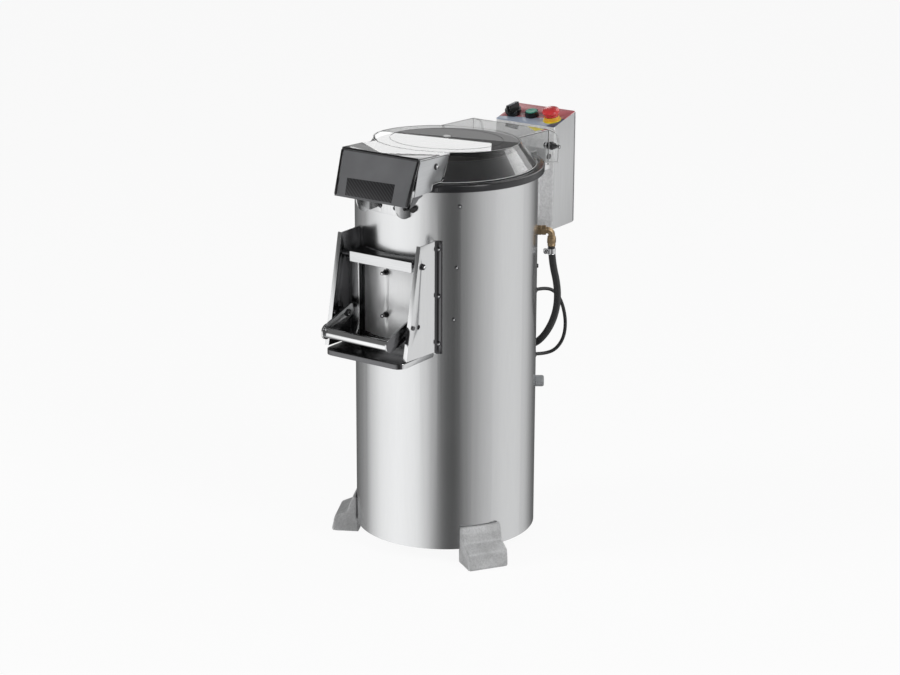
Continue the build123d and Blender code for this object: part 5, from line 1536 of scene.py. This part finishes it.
@dataclass
class Switches:
    """Selector, start button and emergency stop on the console, in millimetres."""

    selector_place: tuple[float, float] = (-48.5, 31.0)
    start_place: tuple[float, float] = (-3.5, 35.0)
    stop_place: tuple[float, float] = (50.5, 30.0)
    bezel: float = 5.5
    start_bezel: float = 11.5
    start_recess: float = 4.6
    start_travel: float = 3.0
    start_gap: float = 0.3
    lever_turn: float = 75.0
    lever_top: float = 18.2
    pad_reach: float = 9.0
    pad_end: float = 3.6

    def selector(self) -> None:
        """The black selector with a lighter pad on its lever."""
        knob = copy_of("selector_knob", "selector_grip")
        bevel(knob, 1.1 * MM, 3, 40)
        smooth(knob, 45)
        finish_piece(knob, "selector", SLOTS["selector_knob"], "gloss_black", "selector_knob")
        turn = math.radians(self.lever_turn)
        middle, row = self.selector_place
        outline = []
        for step in range(32):
            angle = math.tau * step / 32
            length = math.copysign(self.pad_reach, math.cos(angle)) + self.pad_end * math.cos(angle)
            width = self.pad_end * math.sin(angle)
            across = length * math.cos(turn) - width * math.sin(turn)
            run = length * math.sin(turn) + width * math.cos(turn)
            outline.append(console_point(middle + across, row + run, self.bezel + self.lever_top))
        pad = prism("selector_pad", outline, CONSOLE_UP * 0.5 * MM, 0.2 * MM)
        finish_piece(pad, "selector", "grey_plastic", "pad_grey")

    def start(self) -> None:
        """The green button in its raised bezel, slightly dished."""
        seat = self.start_bezel - self.start_recess + self.start_travel + self.start_gap
        profile = [(0, 2.3), (6.0, 2.4), (10.2, 2.8), (11.4, 2.7), (12.0, 2.0), (12.0, 0), (8.0, 0), (8.0, -24),
                   (0, -24)]
        piece = lathe("start_cap", profile, CONSOLE_UP, console_point(*self.start_place, seat))
        finish_piece(piece, "start", SLOTS["start_button"], "green", "start_button")

    def stop(self) -> None:
        """The red mushroom head with its waist and dome, an amber collar and a yellow ring."""
        profile = [(0, 22.9), (7.0, 22.6), (12.5, 21.6), (16.6, 19.6), (18.5, 17.0), (19.0, 14.0), (18.6, 12.4),
                   (16.8, 10.6), (15.2, 9.2), (14.7, 7.4), (14.7, 4.8), (14.3, 4.35), (8.0, 4.3), (8.0, -20.0),
                   (0, -20.0)]
        head = lathe("stop_mushroom", profile, CONSOLE_UP, console_point(*self.stop_place, self.bezel))
        finish_piece(head, "stop", SLOTS["estop_head"], "red", "estop_head")
        foot = console_point(*self.stop_place, 0.02)
        collar = [(15.1, 0), (16.4, 0), (16.4, 8.6), (15.9, 9.4), (15.1, 9.4), (15.1, 0)]
        finish_piece(lathe("stop_collar", collar, CONSOLE_UP, foot), "root", "printed_film", "orange")
        ring = [(16.4, 0), (19.7, 0), (20.0, 0.4), (19.8, 1.1), (19.4, 1.3), (16.4, 1.4), (16.4, 0)]
        finish_piece(lathe("stop_ring", ring, CONSOLE_UP, foot), "root", "printed_film", "yellow")

    def build(self) -> None:
        """Builds the three controls."""
        self.selector()
        self.start()
        self.stop()


@dataclass
class Feet:
    """Cast feet with rounded edges and the uneven skin of a sand casting, in millimetres."""

    nodes: Sequence[str] = ("foot_front_right", "foot_rear", "foot_front_left")
    radius: float = 4.0
    grain: float = 2.0
    lumps: float = 6.0
    relief: float = 0.5
    passes: int = 3

    def build(self) -> None:
        """Builds the three feet, each cut level at the floor."""
        skin = bpy.data.textures.new("cast_skin", "CLOUDS")
        skin.noise_scale = self.lumps * MM
        skin.noise_depth = 3
        for node in self.nodes:
            piece = copy_of(node, f"{node}_casting")
            bevel(piece, self.radius * MM, 3, 50)
            remesh = piece.modifiers.new("skin", "REMESH")
            remesh.mode = "VOXEL"
            remesh.voxel_size = self.grain * MM
            piece.modifiers.new("even", "SMOOTH").iterations = self.passes
            uneven = piece.modifiers.new("uneven", "DISPLACE")
            uneven.texture = skin
            uneven.strength = self.relief * MM
            uneven.mid_level = 0.6
            apply_modifiers(piece)
            for vertex in piece.data.vertices:
                vertex.co.z = max(vertex.co.z, 0.0)
            smooth(piece, 60)
            finish_piece(piece, "root", SLOTS[node], "casting", node)


@dataclass
class WaterLine:
    """Brass nuts, elbow and clamp of the water inlet, and the valve's coil, in millimetres."""

    angle: float = 124.6
    height: float = 668.0
    drop: float = 219.3
    hose_start: float = 634.0
    wall_nut: tuple[float, float] = (19.0, 8.0)
    hose_nut: tuple[float, float] = (17.0, 10.0)
    nut_gap: float = 1.0
    clamp_drop: float = 17.0
    worm_reach: float = 12.4
    worm_height: float = 6.0
    coil_place: tuple[float, float, float] = (-54.0, 219.0, 382.0)
    tab: tuple[float, float, float] = (0.8, 6.3, 9.0)

    def at(self, reach: float, height: float) -> Vector:
        """A point in the inlet's upright plane, by its reach from the drum's axis and its height."""
        return outward(self.angle) * reach * MM + UP * height * MM

    def nuts(self) -> None:
        """The two nuts on the drum's wall and the nut over the hose, each with a rounded collar."""
        axis = outward(self.angle)
        step = self.wall_nut[1] + self.nut_gap
        pieces = [hexagon("nut", *self.wall_nut, axis, self.at(DRUM_RADIUS, self.height), 8),
                  hexagon("nut", *self.wall_nut, axis, self.at(DRUM_RADIUS + step, self.height), 8),
                  hexagon("nut", *self.hose_nut, UP, self.at(self.drop, self.hose_start + 7), 20)]
        collar = [(0, 0), (7.6, 0), (8.4, 0.8), (8.4, 3.6), (7.8, 4.6), (8.6, 5.6), (8.6, 7.0), (0, 7.0)]
        pieces.append(lathe("collar", collar, UP, self.at(self.drop, self.hose_start), 32))
        cap = [(0, 0), (8.8, 0), (8.8, 2.4), (7.9, 3.4), (0, 3.4)]
        pieces.append(lathe("collar", cap, UP, self.at(self.drop, self.hose_start + 18), 32))
        finish_piece(join(pieces, "brass_nuts"), "root", SLOTS["inlet_nuts"], "brass", "inlet_nuts")

    def clamp(self) -> None:
        """The worm clamp: a band with a rolled rim, its worm housing and a slotted screw."""
        foot = self.at(self.drop, self.hose_start - self.clamp_drop)
        band = [(7.4, 0), (8.6, 0), (9.0, 0.6), (8.7, 1.4), (8.7, 10.6), (9.0, 11.4), (8.6, 12.0), (7.4, 12.0),
                (7.4, 0)]
        toward = -outward(self.angle)
        middle = foot + toward * self.worm_reach * MM + UP * self.worm_height * MM
        worm = [(0, -7.5), (3.9, -7.5), (4.4, -7.0), (4.4, 4.4), (3.6, 5.0), (3.6, 5.6), (4.6, 6.0), (4.6, 8.2),
                (3.9, 8.8), (1.2, 8.8), (1.0, 8.0), (0, 8.0)]
        pieces = [lathe("band", band, UP, foot, 40), lathe("worm", worm, UP.cross(toward), middle, 24)]
        finish_piece(join(pieces, "worm_clamp"), "root", SLOTS["hose_clamp"], "bright", "hose_clamp")

    def coil(self) -> None:
        """The valve's coil: a ribbed black moulding with two tabs."""
        foot = Vector(self.coil_place) * MM
        profile = [(0, 0), (15.3, 0), (15.6, 0.8), (15.6, 6), (14.8, 7), (14.8, 26), (15.6, 27), (15.6, 33),
                   (14.6, 34.4), (6.0, 34.4), (5.4, 33.6), (0, 33.6)]
        finish_piece(lathe("valve_coil", profile, UP, foot), "root", "black_plastic", "black")
        thick, wide, tall = self.tab
        tabs = []
        for shift in (-4, 4):
            start = foot + Vector((shift - thick / 2, 4, 33)) * MM
            outline = [start + Vector((0, y, z)) * MM for y, z in ((0, 0), (wide, 0), (wide, tall), (0, tall))]
            tabs.append(prism("tab", outline, Vector((thick, 0, 0)) * MM, 0.2 * MM))
        finish_piece(join(tabs, "coil_tabs"), "root", "steel", "bright")

    def build(self) -> None:
        """Builds the nuts, the clamp, the elbow and the coil."""
        self.nuts()
        self.clamp()
        elbow = smooth(copy_of("inlet_elbow", "brass_elbow"), 50)
        finish_piece(elbow, "root", SLOTS["inlet_elbow"], "brass", "inlet_elbow")
        self.coil()


@dataclass
class DrumScrews:
    """Bright domes in the black heads of the drum's screws, painted highlights, by angle and height."""

    head: float = 2.8
    depth: float = 0.4
    flange: float = 2.0
    plain: Pairs = (
        (42.8, 765.7), (41.1, 638.8), (39.5, 530.1), (-141.0, 765.7), (-141.0, 638.8), (-141.0, 530.1),
    )
    raised: Pairs = ((30.34, 677.7), (30.34, 579.8), (30.34, 479.4))

    def build(self) -> None:
        """Builds every painted highlight dome as one piece."""
        profile = [(0, 0.9), (1.2, 0.8), (1.9, 0.4), (2.1, 0), (0, 0)]
        head_highlights = []
        for places, radius in ((self.plain, DRUM_RADIUS), (self.raised, DRUM_RADIUS + self.flange)):
            for angle, height in places:
                axis = outward(angle)
                seat = axis * (radius + self.head - self.depth) * MM + UP * height * MM
                head_highlights.append(lathe("socket", profile, axis, seat, 20))
        finish_piece(join(head_highlights, "screw_head_highlights"), "root", "steel", "bright")


@dataclass
class Outlet:
    """Ends of the door's studs, the handle's tube and the pivot bolts, in millimetres."""

    stud_angle: float = -4.2
    stud_end: float = 207.5
    stud_heights: Sequence[float] = (529.0, 618.3)
    tube_place: tuple[float, float] = (-297.0, 503.0)
    tube_ends: tuple[float, float] = (-87.0, 68.0)
    tube_radius: float = 10.25
    door_pivot: tuple[float, float] = (-213.5, 651.0)
    handle_pivot: tuple[float, float] = (-225.3, 528.0)
    plate_inners: tuple[float, float] = (87.5, -106.5)
    plate_wall: float = 2.0
    middle: float = -9.5
    header_half: float = 77.0
    header_gap: float = 0.3
    arm_inset: float = 15.5

    def studs(self) -> None:
        """The bright ends of the door's studs."""
        profile = [(0, 0.9), (2.2, 0.6), (3.4, -0.2), (4.15, -1.4), (4.15, -3.0), (0, -3.0)]
        axis = outward(self.stud_angle)
        ends = [lathe("end", profile, axis, axis * self.stud_end * MM + UP * height * MM, 24)
                for height in self.stud_heights]
        finish_piece(join(ends, "stud_ends"), "door", "steel", "bright")

    def grip(self) -> None:
        """The handle's tube with rounded ends."""
        left, right = self.tube_ends
        length = right - left
        radius = self.tube_radius
        profile = [(0, 0), (radius - 1, 0), (radius - 0.3, 0.3), (radius, 1.0), (radius, length - 1.0),
                   (radius - 0.3, length - 0.3), (radius - 1, length), (0, length)]
        tube = lathe("handle_grip", profile, Vector((1, 0, 0)), Vector((left, *self.tube_place)) * MM, 64)
        finish_piece(tube, "handle", SLOTS["handle_tube"], "tube_steel", "handle_tube")

    def pivots(self) -> None:
        """The bolts that the door and the handle turn on, with black heads and bright tips."""
        cap = [(0, 0), (6.6, 0), (6.6, 1.2), (6.0, 1.5), (6.0, 4.4), (5.4, 5.0), (3.0, 5.6), (0, 5.6)]
        tip = [(0, 8.6), (2.2, 8.2), (3.2, 7.2), (3.4, 5.4), (0, 5.4)]
        sleeve = [(0, 0.3), (8.6, 0.3), (9, 0.8), (9, 14.6), (8.6, 15.2), (0, 15.2)]
        washer = [(0, -6.6), (6.2, -6.6), (7.8, -5.9), (8, -4.3), (0, -4.3)]
        socket = [(0, -6.2), (2.6, -6.4), (4.6, -7.2), (4.8, -6.2), (0, -5.0)]
        black, bright = [], []
        for inner, turn in zip(self.plate_inners, (1, -1)):
            axis = Vector((turn, 0, 0))
            door = Vector((inner, *self.door_pivot)) * MM
            outer = door + axis * self.plate_wall * MM
            shank = abs(inner - (self.middle + turn * self.header_half)) - self.header_gap
            spacer = [(0, -shank), (5.0, -shank), (5.6, 0.6 - shank), (5.6, -3), (6, -2.4), (6, 0), (0, 0)]
            arm = Vector((inner - turn * self.arm_inset, *self.handle_pivot)) * MM
            black += [lathe("spacer", spacer, axis, door, 32), lathe("cap", cap, axis, outer, 32),
                      lathe("sleeve", sleeve, axis, arm, 32), lathe("washer", washer, axis, arm, 32)]
            bright += [lathe("tip", tip, axis, outer, 24), lathe("socket", socket, axis, arm, 24)]
        finish_piece(join(black, "pivot_bolts_black"), "root", SLOTS["pivot_bolts"], "dark_steel", "pivot_bolts")
        finish_piece(join(bright, "pivot_tips"), "root", "steel", "bright")

    def build(self) -> None:
        """Builds the studs' ends, the tube and the bolts."""
        self.studs()
        self.grip()
        self.pivots()


def main() -> None:
    """Builds the studio, the cords and every sub-assembly in order."""
    Studio().build()
    lay_cords()
    dress_nodes()
    for part in SOFTENED:
        part.build()
    for assembly in (Lid(), Hinge(), Switches(), Feet(), WaterLine(), DrumScrews(), Outlet()):
        assembly.build()


if __name__ == "__main__":
    main()
